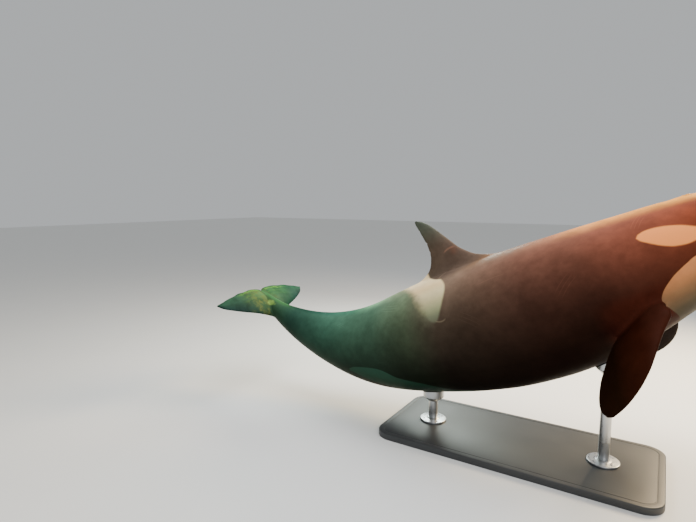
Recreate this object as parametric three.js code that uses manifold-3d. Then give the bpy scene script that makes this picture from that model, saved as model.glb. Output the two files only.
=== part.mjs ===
import * as THREE from 'three';
import { mergeVertices } from 'three/addons/utils/BufferGeometryUtils.js';
import Module from 'manifold-3d';

const wasm = await Module();
wasm.setup();

// A life-size orca, swimming with its nose up and its tail raised, held on a display stand.
// Millimetres. Nose towards +X, back towards +Z, right side towards -Y.
// The origin is the centre of the stand base's underside.

// Size and clearances
const bodyLength = 5500; // from the snout to the notch between the flukes
const gap = 0.3; // clearance between touching pieces
const ringSides = 44; // facets round the body

// Where the spine passes above the stand: the point 42% back from the snout
const holdPoint = 0.42;
const holdX = -110;
const holdZ = 1200;

// Pitch of the spine, nose up, against the distance from the snout as a share of the length
const spinePitch = [
  [0.0, 32.3], [0.15, 29.5], [0.3, 26.5], [0.45, 21.6], [0.6, 19.2],
  [0.72, 3.8], [0.84, -14.4], [0.94, -29.6], [1.06, -42.5],
];

// Sections in thousandths of the body length: distance from the snout, height of the back
// and depth of the belly from the spine, half width, and keel (1 is an oval, more is sharper)
const sections = [
  [0, 18, 17, 19, 0.95],
  [10, 24.5, 22.5, 27, 0.94],
  [25, 36, 29, 38.5, 0.92],
  [50, 51, 37, 52, 0.91],
  [80, 64, 46, 63, 0.93],
  [120, 75.5, 56.5, 74, 0.95],
  [160, 83.5, 67.5, 82.5, 0.97],
  [200, 89.5, 80, 88.5, 1],
  [250, 96.5, 94, 94, 1],
  [300, 102, 104, 97.5, 1],
  [360, 106.5, 110.5, 98.5, 1],
  [420, 108, 112.5, 97.5, 1],
  [480, 106.5, 109.5, 93.5, 1],
  [540, 101.5, 103, 87.5, 1.02],
  [600, 94, 94, 79, 1.06],
  [660, 83.5, 82.5, 68.5, 1.12],
  [720, 71.5, 69, 56.5, 1.22],
  [780, 58.5, 54.5, 44, 1.34],
  [840, 44.5, 42, 32.5, 1.45],
  [890, 31.5, 32.5, 24.5, 1.45],
  [930, 19.5, 24.5, 19, 1.35],
  [965, 11, 16, 14, 1.15],
  [985, 7, 8.5, 10, 1],
];
const snoutRounding = 0.016; // share of the length over which the snout closes
const snoutPoint = -6; // height of the foremost point from the spine, in thousandths

// Where the body is parted, as shares of the length, with the steps between its rings
const headEnd = 0.185;
const lengths = {
  chest: { from: headEnd, to: 0.36, steps: 10 },
  torso: { from: 0.36, to: 0.56, steps: 10 },
  waist: { from: 0.56, to: 0.76, steps: 11 },
  tail_stock: { from: 0.76, to: 0.985, steps: 14 },
};

// Mouth: height of its line from the spine against the distance from the snout, in thousandths
const mouthLine = [[0, -6], [20, -10.5], [50, -11.5], [70, -9.5], [86, -5.5]];
const jawHinge = 0.092;
const lipRadius = 12;
const lipCrease = 7;

// Eye, in thousandths of the length, with its radii in mm
const eyePlace = [98, 7.5];
const eyeRadius = 30;
const eyeSunk = 16;
const lidSize = [76, 38, 24]; // along the head, up, and out of the skin
const lidSunk = 8;
const lidOpening = [33, 14, 40];

// Blowhole: a crescent slit on a low mound, its horns forward
const blowholePlace = 0.114;
const blowholeMound = [85, 75, 22];
const blowholeRadius = 42;
const slitRadius = 7;

// Dorsal fin, in thousandths of the length: height above the spine, front edge, rear edge, thickness
const dorsalLevels = [
  [84, 372, 566, 30],
  [100, 380, 556, 27],
  [108, 396, 540, 24],
  [113, 416, 530, 21],
  [120, 434, 523.5, 17.5],
  [130, 448, 518.5, 15],
  [140, 459, 515.5, 13.5],
  [155, 470, 515, 11.5],
  [170, 481, 517.5, 9.5],
  [185, 492.5, 521, 7.5],
  [197, 503.5, 524, 6],
  [204, 513, 525.5, 4.5],
  [207, 519, 525, 3],
];

// Flippers: share of the length from the root, then the front and rear edge in thousandths
const flipperPlan = [
  [-0.16, 24, -29],
  [-0.05, 32, -31],
  [0.02, 41, -32.5],
  [0.08, 44, -34],
  [0.16, 41.5, -36.8],
  [0.28, 38.8, -40.2],
  [0.42, 37.5, -41.8],
  [0.57, 36, -41.4],
  [0.72, 31, -37.5],
  [0.86, 21, -30],
  [0.95, 9.5, -20],
  [0.985, 1.5, -12],
];
const flipperLength = 842;
const flipperRoot = [226, -46]; // along the body and above the spine, in thousandths
const flipperRootThickness = 112;
const flipperTipThickness = 22;
const flipperPose = {
  right: { back: 24.5, down: 34, twist: 22 },
  left: { back: 13, down: 46, twist: -1 },
};

// Flukes, in a plane through the notch: share of the half span, then the front and rear edge
// in thousandths of the length behind the notch
const flukePlan = [
  [0, -78, 0],
  [0.05, -74, 5],
  [0.1, -70.3, 7],
  [0.2, -63.5, 8.2],
  [0.4, -52.5, 6],
  [0.6, -43.5, 2],
  [0.8, -32, -4],
  [0.93, -22, -7.8],
  [0.98, -14.5, -9],
  [1, -10.5, -9.6],
];
const notchPlace = 1.002;
const flukePitch = 7.9; // tips of the plane above the line of the spine
const flukeHalfSpan = 134.6;
const flukeRise = 4.2; // the middle of each fluke arches up
const flukeCurl = 9; // and its tip curls down
const flukeRootThickness = 28;
const flukeTipThickness = 4;

// Display stand
const baseLength = 2400;
const baseWidth = 1100;
const baseHeight = 60;
const baseCorner = 160;
const baseChamfer = 12;
const rodRadius = 45;
const rodSides = 40;
const footRadius = 130;
const footHeight = 28;
const cupRadius = 105;
const cupHeight = 70; // below the lowest point of its rim
const frontRodPlace = 0.3;
const rearRodPlace = 0.59;

// Colours and finishes
const finishes = {
  blackSkin: { color: 0x1c1715, roughness: 0.35, metalness: 0 },
  whiteSkin: { color: 0xd9cfbd, roughness: 0.4, metalness: 0 },
  eye: { color: 0x120c0a, roughness: 0.08, metalness: 0 },
  baseLacquer: { color: 0x3a3c3e, roughness: 0.5, metalness: 0 },
  steel: { color: 0xa9abad, roughness: 0.3, metalness: 1 },
};

const thousandth = bodyLength / 1000;
const radians = THREE.MathUtils.degToRad;

// A smooth curve through rows of [x, value] that never overshoots them
function smoothCurve(rows, column = 1) {
  const xs = rows.map((row) => row[0]);
  const ys = rows.map((row) => row[column]);
  const last = xs.length - 1;
  const steps = xs.slice(1).map((x, i) => x - xs[i]);
  const slopes = steps.map((step, i) => (ys[i + 1] - ys[i]) / step);
  const tangents = xs.map((x, i) => {
    if (i === 0 || i === last) return i === 0 ? slopes[0] : slopes[last - 1];
    const before = slopes[i - 1];
    const after = slopes[i];
    if (before * after <= 0) return 0;
    const a = steps[i - 1] + 2 * steps[i];
    const b = 2 * steps[i - 1] + steps[i];
    return (a + b) / (a / before + b / after);
  });
  return (x) => {
    const at = Math.min(Math.max(x, xs[0]), xs[last]);
    const found = xs.findIndex((edge) => edge > at);
    const i = found < 0 ? last - 1 : found - 1;
    const u = (at - xs[i]) / steps[i];
    const keep = (1 + 2 * u) * (1 - u) ** 2 * ys[i] + u * u * (3 - 2 * u) * ys[i + 1];
    const lean = u * (1 - u) ** 2 * tangents[i] - u * u * (1 - u) * tangents[i + 1];
    return keep + lean * steps[i];
  };
}

const pitchAt = smoothCurve(spinePitch);
const backAt = smoothCurve(sections, 1);
const bellyAt = smoothCurve(sections, 2);
const widthAt = smoothCurve(sections, 3);
const keelAt = smoothCurve(sections, 4);
const mouthAt = smoothCurve(mouthLine);

// The spine as a fine polyline in the X-Z plane, added up from its pitch
const spineStep = 0.0025;
const spineStart = -0.02;
const spinePoints = makeSpine();

function makeSpine() {
  const points = [];
  let x = 0;
  let z = 0;
  const count = Math.round((1.06 - spineStart) / spineStep);
  for (let i = 0; i <= count; i += 1) {
    const pitch = radians(pitchAt(spineStart + i * spineStep));
    if (i > 0) {
      const before = radians(pitchAt(spineStart + (i - 1) * spineStep));
      x -= ((Math.cos(pitch) + Math.cos(before)) / 2) * spineStep * bodyLength;
      z -= ((Math.sin(pitch) + Math.sin(before)) / 2) * spineStep * bodyLength;
    }
    points.push([x, z]);
  }
  const [dx, dz] = pointOnPolyline(points, holdPoint);
  return points.map(([px, pz]) => [px - dx + holdX, pz - dz + holdZ]);
}

function pointOnPolyline(points, along) {
  const at = (along - spineStart) / spineStep;
  const i = Math.min(Math.max(Math.floor(at), 0), points.length - 2);
  const u = at - i;
  return [0, 1].map((k) => points[i][k] * (1 - u) + points[i + 1][k] * u);
}

// A point beside the spine: share of the length, mm to the left, mm towards the back
function bodyPoint(along, left, up) {
  const [x, z] = pointOnPolyline(spinePoints, along);
  const pitch = radians(pitchAt(along));
  return new THREE.Vector3(x - Math.sin(pitch) * up, left, z + Math.cos(pitch) * up);
}

function forwardAt(along) {
  const pitch = radians(pitchAt(along));
  return new THREE.Vector3(Math.cos(pitch), 0, Math.sin(pitch));
}

function upAt(along) {
  const pitch = radians(pitchAt(along));
  return new THREE.Vector3(-Math.sin(pitch), 0, Math.cos(pitch));
}

// Closes the snout like the end of an egg
function snoutFactor(along) {
  const u = Math.min(Math.max(along / snoutRounding, 0), 1);
  return Math.sqrt(1 - (1 - u) ** 2);
}

// A point on the skin, at an angle round the section from the left side, up over the back
function skinPoint(along, angle, grow = 0) {
  const share = along * 1000;
  const round = snoutFactor(along);
  const half = angle < Math.PI ? backAt(share) : bellyAt(share);
  const across = Math.sign(Math.cos(angle)) * Math.abs(Math.cos(angle)) ** keelAt(share);
  const left = (widthAt(share) * thousandth * round + grow) * across;
  const up = (half * thousandth * round + grow) * Math.sin(angle);
  return bodyPoint(along, left, up + (1 - round) * snoutPoint * thousandth);
}

// The angle at which the skin on one side stands at a height, side 1 is left and -1 right
function angleAtHeight(along, height, side) {
  const share = along * 1000;
  const round = snoutFactor(along);
  const above = height - (1 - round) * snoutPoint;
  const half = above > 0 ? backAt(share) : bellyAt(share);
  const sine = THREE.MathUtils.clamp(above / (half * round), -1, 1);
  const angle = Math.asin(sine);
  return side > 0 ? (angle + 2 * Math.PI) % (2 * Math.PI) : Math.PI - angle;
}

function skinNormal(along, angle) {
  const d = 0.002;
  const ahead = skinPoint(Math.max(along - d, 0), angle);
  const behind = skinPoint(along + d, angle);
  const over = skinPoint(along, angle + d);
  const under = skinPoint(along, angle - d);
  const normal = behind.sub(ahead).cross(over.sub(under)).normalize();
  const outward = skinPoint(along, angle).sub(bodyPoint(along, 0, 0));
  return normal.dot(outward) < 0 ? normal.negate() : normal;
}

// Triangles over a row of equal rings, with both ends closed
function loft(rings) {
  const sides = rings[0].length;
  const positions = [];
  const index = [];
  rings.forEach((ring) => ring.forEach((p) => positions.push(p.x, p.y, p.z)));
  for (let i = 0; i < rings.length - 1; i += 1) {
    for (let j = 0; j < sides; j += 1) {
      const k = (j + 1) % sides;
      const a = i * sides;
      const b = a + sides;
      index.push(a + j, b + j, a + k, a + k, b + j, b + k);
    }
  }
  [[0, 1], [rings.length - 1, -1]].forEach(([row, turn]) => {
    const centre = new THREE.Vector3();
    rings[row].forEach((p) => centre.addScaledVector(p, 1 / sides));
    const middle = positions.length / 3;
    positions.push(centre.x, centre.y, centre.z);
    for (let j = 0; j < sides; j += 1) {
      const a = row * sides + j;
      const b = row * sides + ((j + 1) % sides);
      index.push(middle, turn > 0 ? a : b, turn > 0 ? b : a);
    }
  });
  return outwardFacing(positions, index);
}

function outwardFacing(positions, index) {
  const corner = (i) => new THREE.Vector3().fromArray(positions, index[i] * 3);
  let volume = 0;
  for (let i = 0; i < index.length; i += 3) {
    volume += corner(i).dot(corner(i + 1).cross(corner(i + 2)));
  }
  const turned = [...index];
  if (volume < 0) {
    for (let i = 0; i < index.length; i += 3) {
      turned[i + 1] = index[i + 2];
      turned[i + 2] = index[i + 1];
    }
  }
  const geometry = new THREE.BufferGeometry();
  geometry.setAttribute('position', new THREE.Float32BufferAttribute(positions, 3));
  geometry.setIndex(turned);
  return geometry;
}

function toSolid(geometry) {
  const bare = geometry.clone();
  bare.deleteAttribute('normal');
  bare.deleteAttribute('uv');
  const merged = mergeVertices(bare, 1e-4);
  return new wasm.Manifold(new wasm.Mesh({
    numProp: 3,
    vertProperties: new Float32Array(merged.attributes.position.array),
    triVerts: new Uint32Array(merged.index.array),
  }));
}

// The largest closed surface of a solid, as a geometry
function toGeometry(solid) {
  const bodies = solid.decompose().sort((a, b) => b.volume() - a.volume());
  const mesh = bodies[0].getMesh();
  const geometry = new THREE.BufferGeometry();
  geometry.setAttribute('position', new THREE.Float32BufferAttribute(mesh.vertProperties, 3));
  geometry.setIndex([...mesh.triVerts]);
  return geometry;
}

function range(from, to, count) {
  return Array.from({ length: count + 1 }, (unused, i) => from + ((to - from) * i) / count);
}

function bodyRing(along, grow = 0) {
  const angles = range(0, 2 * Math.PI, ringSides).slice(0, ringSides);
  return angles.map((angle) => skinPoint(along, angle, grow));
}

// One length of the body, each end drawn in by half the gap
function lengthOfBody({ from, to, steps }) {
  const trim = gap / 2 / bodyLength;
  const places = range(from, to, steps);
  places[0] += trim;
  places[steps] -= trim;
  return loft(places.map((along) => bodyRing(along)));
}

// Places of the rings on the head, close together round the snout
function headPlaces(end) {
  const snout = [0.0004, 0.0016, 0.0036, 0.0064, 0.01, 0.0155, 0.022];
  return [...snout, ...range(0.03, end, 15)];
}

// The whole body, grown by a little more than the gap, which cuts what stands on it
function bodyCutter() {
  const grow = gap * 1.4;
  const behind = Object.values(lengths).flatMap(({ from, to, steps }) => range(from, to, steps).slice(1));
  const places = [...headPlaces(headEnd), ...behind];
  return toSolid(loft(places.map((along) => bodyRing(along, grow))));
}

// A blade section between its front and rear point, thickest a third of the way back
function bladeRing(front, rear, normal, thickness, sides = 20) {
  const points = [];
  for (let j = 0; j < sides; j += 1) {
    const turn = (2 * Math.PI * j) / sides;
    const back = (1 - Math.cos(turn)) / 2;
    const foil = 2.6 * Math.sqrt(back) * (1 - back);
    const oval = Math.abs(Math.sin(turn));
    const side = Math.sign(Math.sin(turn));
    const half = (thickness / 2) * (0.78 * foil + 0.22 * oval) * side;
    points.push(front.clone().lerp(rear, back).addScaledVector(normal, half));
  }
  return points;
}

// A tube along points, with its radius at each and the ends drawn to almost nothing
function tube(points, radii, sides = 6) {
  const rings = points.map((point, i) => {
    const before = points[Math.max(i - 1, 0)];
    const after = points[Math.min(i + 1, points.length - 1)];
    const along = after.clone().sub(before).normalize();
    const across = new THREE.Vector3(0, 0, 1).cross(along).normalize();
    const up = along.clone().cross(across);
    return range(0, 2 * Math.PI, sides).slice(0, sides).map((turn) => point.clone()
      .addScaledVector(across, Math.cos(turn) * radii[i])
      .addScaledVector(up, Math.sin(turn) * radii[i]));
  });
  return toSolid(loft(rings));
}

// An egg shape at a point of the skin, its axes along the head, up the skin and out of it
function skinEgg(place, normal, sizes, sunk, rows = 9) {
  const out = normal.clone();
  const along = new THREE.Vector3(1, 0, 0).addScaledVector(out, -out.x).normalize();
  const up = out.clone().cross(along);
  const geometry = new THREE.SphereGeometry(1, rows * 2, rows);
  const frame = new THREE.Matrix4().makeBasis(along, up, out);
  frame.scale(new THREE.Vector3(sizes[0], sizes[1], sizes[2]));
  frame.setPosition(place.clone().addScaledVector(out, -sunk));
  geometry.applyMatrix4(frame);
  return toSolid(geometry);
}

// The mouth from the right corner round the snout to the left corner, at an offset up the skin
function mouthPath(offset, sunk) {
  const corner = mouthLine[mouthLine.length - 1][0] / 1000;
  const front = 0.0009;
  const half = range(0, 1, 13).map((u) => {
    const along = front + (corner - front) * u * u;
    const height = mouthAt(along * 1000) + offset / thousandth;
    return { along, height };
  });
  const side = (turn) => half.map(({ along, height }) => {
    const angle = angleAtHeight(along, height, turn);
    return skinPoint(along, angle).addScaledVector(skinNormal(along, angle), -sunk);
  });
  return [...side(-1).reverse(), ...side(1).slice(1)];
}

function mouthTube(offset, sunk, radius) {
  const points = mouthPath(offset, sunk);
  const middle = (points.length - 1) / 2;
  const radii = points.map((point, i) => {
    const out = Math.abs(i - middle) / middle;
    return radius * Math.sqrt(Math.max(1 - out ** 6, 0.01));
  });
  return tube(points, radii);
}

// The space below the mouth and ahead of the jaw's hinge, wider by an amount all round
function jawSpace(grow) {
  const places = [-0.015, -0.005, ...range(0, jawHinge + grow / bodyLength, 12)];
  const side = 0.09 * bodyLength;
  const floor = -0.075 * bodyLength;
  return toSolid(loft(places.map((along) => {
    const top = mouthAt(along * 1000) * thousandth + grow;
    return [[side, top], [-side, top], [-side, floor], [side, floor]]
      .map(([left, up]) => bodyPoint(along, left, up));
  })));
}

function eyeFrame(side) {
  const along = eyePlace[0] / 1000;
  const angle = angleAtHeight(along, eyePlace[1], side);
  return { place: skinPoint(along, angle), normal: skinNormal(along, angle) };
}

// The blowhole's slit, an arc whose horns point forward
function blowholeSlit() {
  const centre = skinPoint(blowholePlace, Math.PI / 2);
  const normal = skinNormal(blowholePlace, Math.PI / 2);
  const forward = forwardAt(blowholePlace);
  const left = new THREE.Vector3(0, 1, 0);
  const rise = blowholeMound[2] - 12;
  const turns = range(radians(-80), radians(80), 14);
  const points = turns.map((turn) => centre.clone()
    .addScaledVector(normal, rise - 5 - 6 * (1 - Math.cos(turn)))
    .addScaledVector(forward, blowholeRadius * (0.6 - Math.cos(turn)))
    .addScaledVector(left, blowholeRadius * Math.sin(turn)));
  const radii = turns.map((turn) => slitRadius * Math.max(Math.cos(turn), 0.15));
  return tube(points, radii);
}

// Head and jaw in one piece, with the lips, lids, eye sockets, mouth and blowhole
function headWhole() {
  const places = headPlaces(headEnd - gap / 2 / bodyLength);
  let solid = toSolid(loft(places.map((along) => bodyRing(along))));
  solid = solid.add(mouthTube(lipRadius, lipRadius * 0.6, lipRadius));
  solid = solid.add(mouthTube(-lipRadius, lipRadius * 0.6, lipRadius));
  [1, -1].forEach((side) => {
    const { place, normal } = eyeFrame(side);
    solid = solid.add(skinEgg(place, normal, lidSize, lidSunk));
    solid = solid.subtract(skinEgg(place, normal, lidOpening, 0, 8));
    const socket = eyeRadius + gap;
    solid = solid.subtract(skinEgg(place, normal, [socket, socket, socket], eyeSunk, 10));
  });
  const top = skinPoint(blowholePlace, Math.PI / 2);
  const up = skinNormal(blowholePlace, Math.PI / 2);
  solid = solid.add(skinEgg(top, up, blowholeMound, 12));
  solid = solid.subtract(blowholeSlit());
  return solid.subtract(mouthTube(0, 0, lipCrease));
}

function eyeBall(side) {
  const { place, normal } = eyeFrame(side);
  const sizes = [eyeRadius, eyeRadius, eyeRadius];
  return toGeometry(skinEgg(place, normal, sizes, eyeSunk, 10));
}

function dorsalFin(cutter) {
  const levels = dorsalLevels.map((row) => row[0]);
  const front = smoothCurve(dorsalLevels, 1);
  const rear = smoothCurve(dorsalLevels, 2);
  const thick = smoothCurve(dorsalLevels, 3);
  const left = new THREE.Vector3(0, 1, 0);
  const rings = levels.map((level) => {
    const ahead = front(level) / 1000;
    const behind = rear(level) / 1000;
    const flat = bladeRing(
      new THREE.Vector3(ahead, 0, 0),
      new THREE.Vector3(behind, 0, 0),
      left,
      thick(level) * thousandth,
    );
    return flat.map((p) => bodyPoint(p.x, p.y, level * thousandth));
  });
  return toGeometry(toSolid(loft(rings)).subtract(cutter));
}

// A flipper from the body out along its own axis, its edges from the plan
function flipper(side, pose, cutter) {
  const along = flipperRoot[0] / 1000;
  const angle = angleAtHeight(along, flipperRoot[1], side);
  const root = skinPoint(along, angle);
  const forward = forwardAt(along);
  const out = new THREE.Vector3(0, side, 0);
  const down = radians(pose.down);
  const spread = out.multiplyScalar(Math.cos(down)).addScaledVector(upAt(along), -Math.sin(down));
  const back = radians(pose.back);
  const axis = spread.clone().multiplyScalar(Math.cos(back)).addScaledVector(forward, -Math.sin(back));
  const chord = spread.clone().multiplyScalar(Math.sin(back)).addScaledVector(forward, Math.cos(back));
  const normal = axis.clone().cross(chord).multiplyScalar(-side);
  const turn = radians(pose.twist);
  const blade = chord.clone().multiplyScalar(Math.cos(turn)).addScaledVector(normal, Math.sin(turn));
  const face = axis.clone().cross(blade).normalize();
  const front = smoothCurve(flipperPlan, 1);
  const rear = smoothCurve(flipperPlan, 2);
  const places = [
    -0.16, -0.08, -0.02, 0.03, 0.08, 0.15, 0.25, 0.36, 0.47, 0.57, 0.66, 0.74, 0.81, 0.87, 0.92, 0.955, 0.985,
  ];
  const rings = places.map((place) => {
    const middle = root.clone().addScaledVector(axis, place * flipperLength);
    const a = middle.clone().addScaledVector(blade, front(place) * thousandth);
    const b = middle.clone().addScaledVector(blade, rear(place) * thousandth);
    const thin = Math.max(1 - Math.max(place, 0), 0) ** 1.2;
    const thickness = flipperTipThickness + (flipperRootThickness - flipperTipThickness) * thin;
    return bladeRing(a, b, face, thickness);
  });
  return toGeometry(toSolid(loft(rings)).subtract(cutter));
}

// One fluke, from the midline out, in the plane of the flukes
function fluke(side, cutter) {
  const pitch = radians(flukePitch);
  const forward = forwardAt(notchPlace);
  const up = upAt(notchPlace);
  const rearward = forward.clone().multiplyScalar(-Math.cos(pitch)).addScaledVector(up, Math.sin(pitch));
  const normal = up.clone().multiplyScalar(Math.cos(pitch)).addScaledVector(forward, Math.sin(pitch));
  const notch = bodyPoint(notchPlace, 0, 0);
  const front = smoothCurve(flukePlan, 1);
  const rear = smoothCurve(flukePlan, 2);
  const places = [0, 0.05, 0.1, 0.16, 0.23, 0.31, 0.4, 0.5, 0.6, 0.7, 0.8, 0.88, 0.94, 0.975, 0.995];
  const rings = places.map((q) => {
    const left = side * (gap / 2 + (flukeHalfSpan * thousandth - gap / 2) * q);
    const lift = (flukeRise * q * q - flukeCurl * q ** 4) * thousandth;
    const at = (back) => notch.clone().addScaledVector(rearward, back * thousandth)
      .addScaledVector(normal, lift).setY(left);
    const thin = (1 - q) ** 2;
    const thickness = (flukeTipThickness + (flukeRootThickness - flukeTipThickness) * thin) * thousandth;
    return bladeRing(at(front(q)), at(rear(q)), normal, thickness, 24);
  });
  return toGeometry(toSolid(loft(rings)).subtract(cutter));
}

function standBase() {
  const x = baseLength / 2 - baseChamfer;
  const y = baseWidth / 2 - baseChamfer;
  const r = baseCorner - baseChamfer;
  const outline = new THREE.Shape();
  outline.moveTo(-x + r, -y);
  outline.lineTo(x - r, -y);
  outline.absarc(x - r, -y + r, r, -Math.PI / 2, 0);
  outline.absarc(x - r, y - r, r, 0, Math.PI / 2);
  outline.absarc(-x + r, y - r, r, Math.PI / 2, Math.PI);
  outline.absarc(-x + r, -y + r, r, Math.PI, 1.5 * Math.PI);
  const geometry = new THREE.ExtrudeGeometry(outline, {
    depth: baseHeight - 2 * baseChamfer,
    bevelThickness: baseChamfer,
    bevelSize: baseChamfer,
    bevelSegments: 1,
    curveSegments: 8,
  });
  geometry.translate(0, 0, baseChamfer);
  return toGeometry(toSolid(geometry));
}

// A turned piece from its profile of [radius, height], standing upright at a place
function turned(profile, x, z) {
  const points = profile.map(([radius, height]) => new THREE.Vector2(radius, height));
  const geometry = new THREE.LatheGeometry(points, rodSides);
  geometry.rotateX(Math.PI / 2);
  geometry.translate(x, 0, z);
  const solid = toSolid(geometry);
  return solid.volume() < 0 ? toSolid(geometry.scale(1, -1, 1)) : solid;
}

// Foot, rod and cup under one place of the belly
function standSupport(along, cutter) {
  const belly = skinPoint(along, 1.5 * Math.PI);
  const x = belly.x;
  const slope = Math.tan(radians(pitchAt(along)));
  const rimLow = belly.z - Math.abs(slope) * cupRadius;
  const cupBottom = rimLow - cupHeight;
  const footTop = baseHeight + gap + footHeight;
  const chamfer = 6;
  const foot = turned([
    [0, 0], [footRadius, 0], [footRadius, footHeight - chamfer],
    [footRadius - chamfer, footHeight], [0, footHeight],
  ], x, baseHeight + gap);
  const rodLength = cupBottom - gap - footTop - gap;
  const rod = turned([[0, 0], [rodRadius, 0], [rodRadius, rodLength], [0, rodLength]], x, footTop + gap);
  const reach = belly.z - cupBottom + slope * cupRadius * 2 + 200;
  const cup = turned([
    [0, 0], [rodRadius + 6, 0], [cupRadius, 45], [cupRadius, reach], [0, reach],
  ], x, cupBottom);
  return { foot: toGeometry(foot), rod: toGeometry(rod), cup: lowerPart(cup.subtract(cutter)) };
}

// Of the pieces that a cut leaves, the one that stands lowest
function lowerPart(solid) {
  const low = (body) => body.boundingBox().min[2];
  const pieces = solid.decompose().sort((a, b) => low(a) - low(b));
  return toGeometry(pieces[0]);
}

const orca = new THREE.Group();

function place(name, geometry, finish) {
  const material = new THREE.MeshStandardMaterial(finish);
  const mesh = new THREE.Mesh(geometry, material);
  mesh.name = name;
  orca.add(mesh);
}

const cutter = bodyCutter();
const head = headWhole();
const front = standSupport(frontRodPlace, cutter);
const rear = standSupport(rearRodPlace, cutter);

place('head', toGeometry(head.subtract(jawSpace(gap / 2))), finishes.blackSkin);
place('lower_jaw', toGeometry(head.intersect(jawSpace(-gap / 2))), finishes.whiteSkin);
place('eye_left', eyeBall(1), finishes.eye);
place('eye_right', eyeBall(-1), finishes.eye);
Object.entries(lengths).forEach(([name, part]) => place(name, lengthOfBody(part), finishes.blackSkin));
place('dorsal_fin', dorsalFin(cutter), finishes.blackSkin);
place('flipper_left', flipper(1, flipperPose.left, cutter), finishes.blackSkin);
place('flipper_right', flipper(-1, flipperPose.right, cutter), finishes.blackSkin);
place('fluke_left', fluke(1, cutter), finishes.blackSkin);
place('fluke_right', fluke(-1, cutter), finishes.blackSkin);
place('stand_base', standBase(), finishes.baseLacquer);
place('stand_foot_front', front.foot, finishes.steel);
place('stand_foot_rear', rear.foot, finishes.steel);
place('stand_rod_front', front.rod, finishes.steel);
place('stand_rod_rear', rear.rod, finishes.steel);
place('stand_cup_front', front.cup, finishes.steel);
place('stand_cup_rear', rear.cup, finishes.steel);

export default orca;
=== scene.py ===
import math
import bpy
import numpy as np
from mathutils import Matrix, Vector


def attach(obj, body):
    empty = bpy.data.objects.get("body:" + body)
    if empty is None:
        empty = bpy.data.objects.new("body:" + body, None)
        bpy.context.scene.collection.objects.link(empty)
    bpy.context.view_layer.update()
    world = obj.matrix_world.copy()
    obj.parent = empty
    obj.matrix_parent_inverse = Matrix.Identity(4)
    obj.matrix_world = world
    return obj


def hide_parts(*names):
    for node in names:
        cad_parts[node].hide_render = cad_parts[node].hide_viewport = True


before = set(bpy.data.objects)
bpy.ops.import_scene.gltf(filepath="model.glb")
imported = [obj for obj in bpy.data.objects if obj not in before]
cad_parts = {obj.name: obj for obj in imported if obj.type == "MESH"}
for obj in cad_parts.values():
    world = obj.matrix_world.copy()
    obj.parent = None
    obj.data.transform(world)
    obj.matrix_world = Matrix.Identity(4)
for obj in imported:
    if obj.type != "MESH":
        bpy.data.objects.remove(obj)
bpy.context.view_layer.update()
print("frame loaded")

# A life-size orca model, nose up and tail raised, on its display stand.
# Metres, row frame: nose towards +X, back towards +Z, left side towards +Y.

view = dict(
    place=(1.070, -4.544, 2.279),
    turn=32.64,  # degrees left of straight ahead along +Y
    tip=-7.0,  # degrees, looking down
    lens=25.694,
    sensor=36.0,
)


def makeCamera():  # a level camera, tipped down and turned to the left
    data = bpy.data.cameras.new("photo_view")
    data.lens = view["lens"]
    data.sensor_width = view["sensor"]
    data.clip_end = 300
    camera = bpy.data.objects.new("photo_view", data)
    camera.location = view["place"]
    camera.rotation_euler = (math.radians(90 + view["tip"]), 0, math.radians(view["turn"]))
    bpy.context.scene.collection.objects.link(camera)
    bpy.context.scene.camera = camera


makeCamera()
print("camera set")


# Curves and the bent body

def smoothCurve(rows, column=1):
    # Cubic through rows of [x, value], level wherever the values turn, so it never overshoots
    x = np.array([row[0] for row in rows], float)
    y = np.array([row[column] for row in rows], float)
    step = np.diff(x)
    slope = np.diff(y) / step
    tangent = np.concatenate([slope[:1], np.zeros(len(x) - 2), slope[-1:]])
    before, after = slope[:-1], slope[1:]
    same = before * after > 0
    a, b = step[:-1] + 2 * step[1:], 2 * step[:-1] + step[1:]
    mean = (a + b) / (a / np.where(same, before, 1) + b / np.where(same, after, 1))
    tangent[1:-1] = np.where(same, mean, 0)

    def value(at):
        at = np.clip(np.asarray(at, float), x[0], x[-1])
        i = np.clip(np.searchsorted(x, at, side="right") - 1, 0, len(x) - 2)
        u = (at - x[i]) / step[i]
        keep = (1 + 2 * u) * (1 - u) ** 2 * y[i] + u * u * (3 - 2 * u) * y[i + 1]
        lean = u * (1 - u) ** 2 * tangent[i] - u * u * (1 - u) * tangent[i + 1]
        return keep + lean * step[i]

    return value


def rise(x, low, high):  # 0 below low, 1 above high, smooth between
    u = np.clip((x - low) / (high - low), 0, 1)
    return u * u * (3 - 2 * u)


def between(x, start, full, fade, end):  # rises from start to full, falls from fade to end
    return rise(x, start, full) * (1 - rise(x, fade, end))


def bump(x, width):  # a soft hill, 1 high at 0
    return np.exp(-((x / width) ** 2))


def ring(radius, angle, height):  # points (r cos, r sin, h), for one ring or for a stack of them
    x, y = radius * np.cos(angle), radius * np.sin(angle)
    return np.stack([x, y, np.broadcast_to(height, x.shape)], axis=-1)


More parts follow.
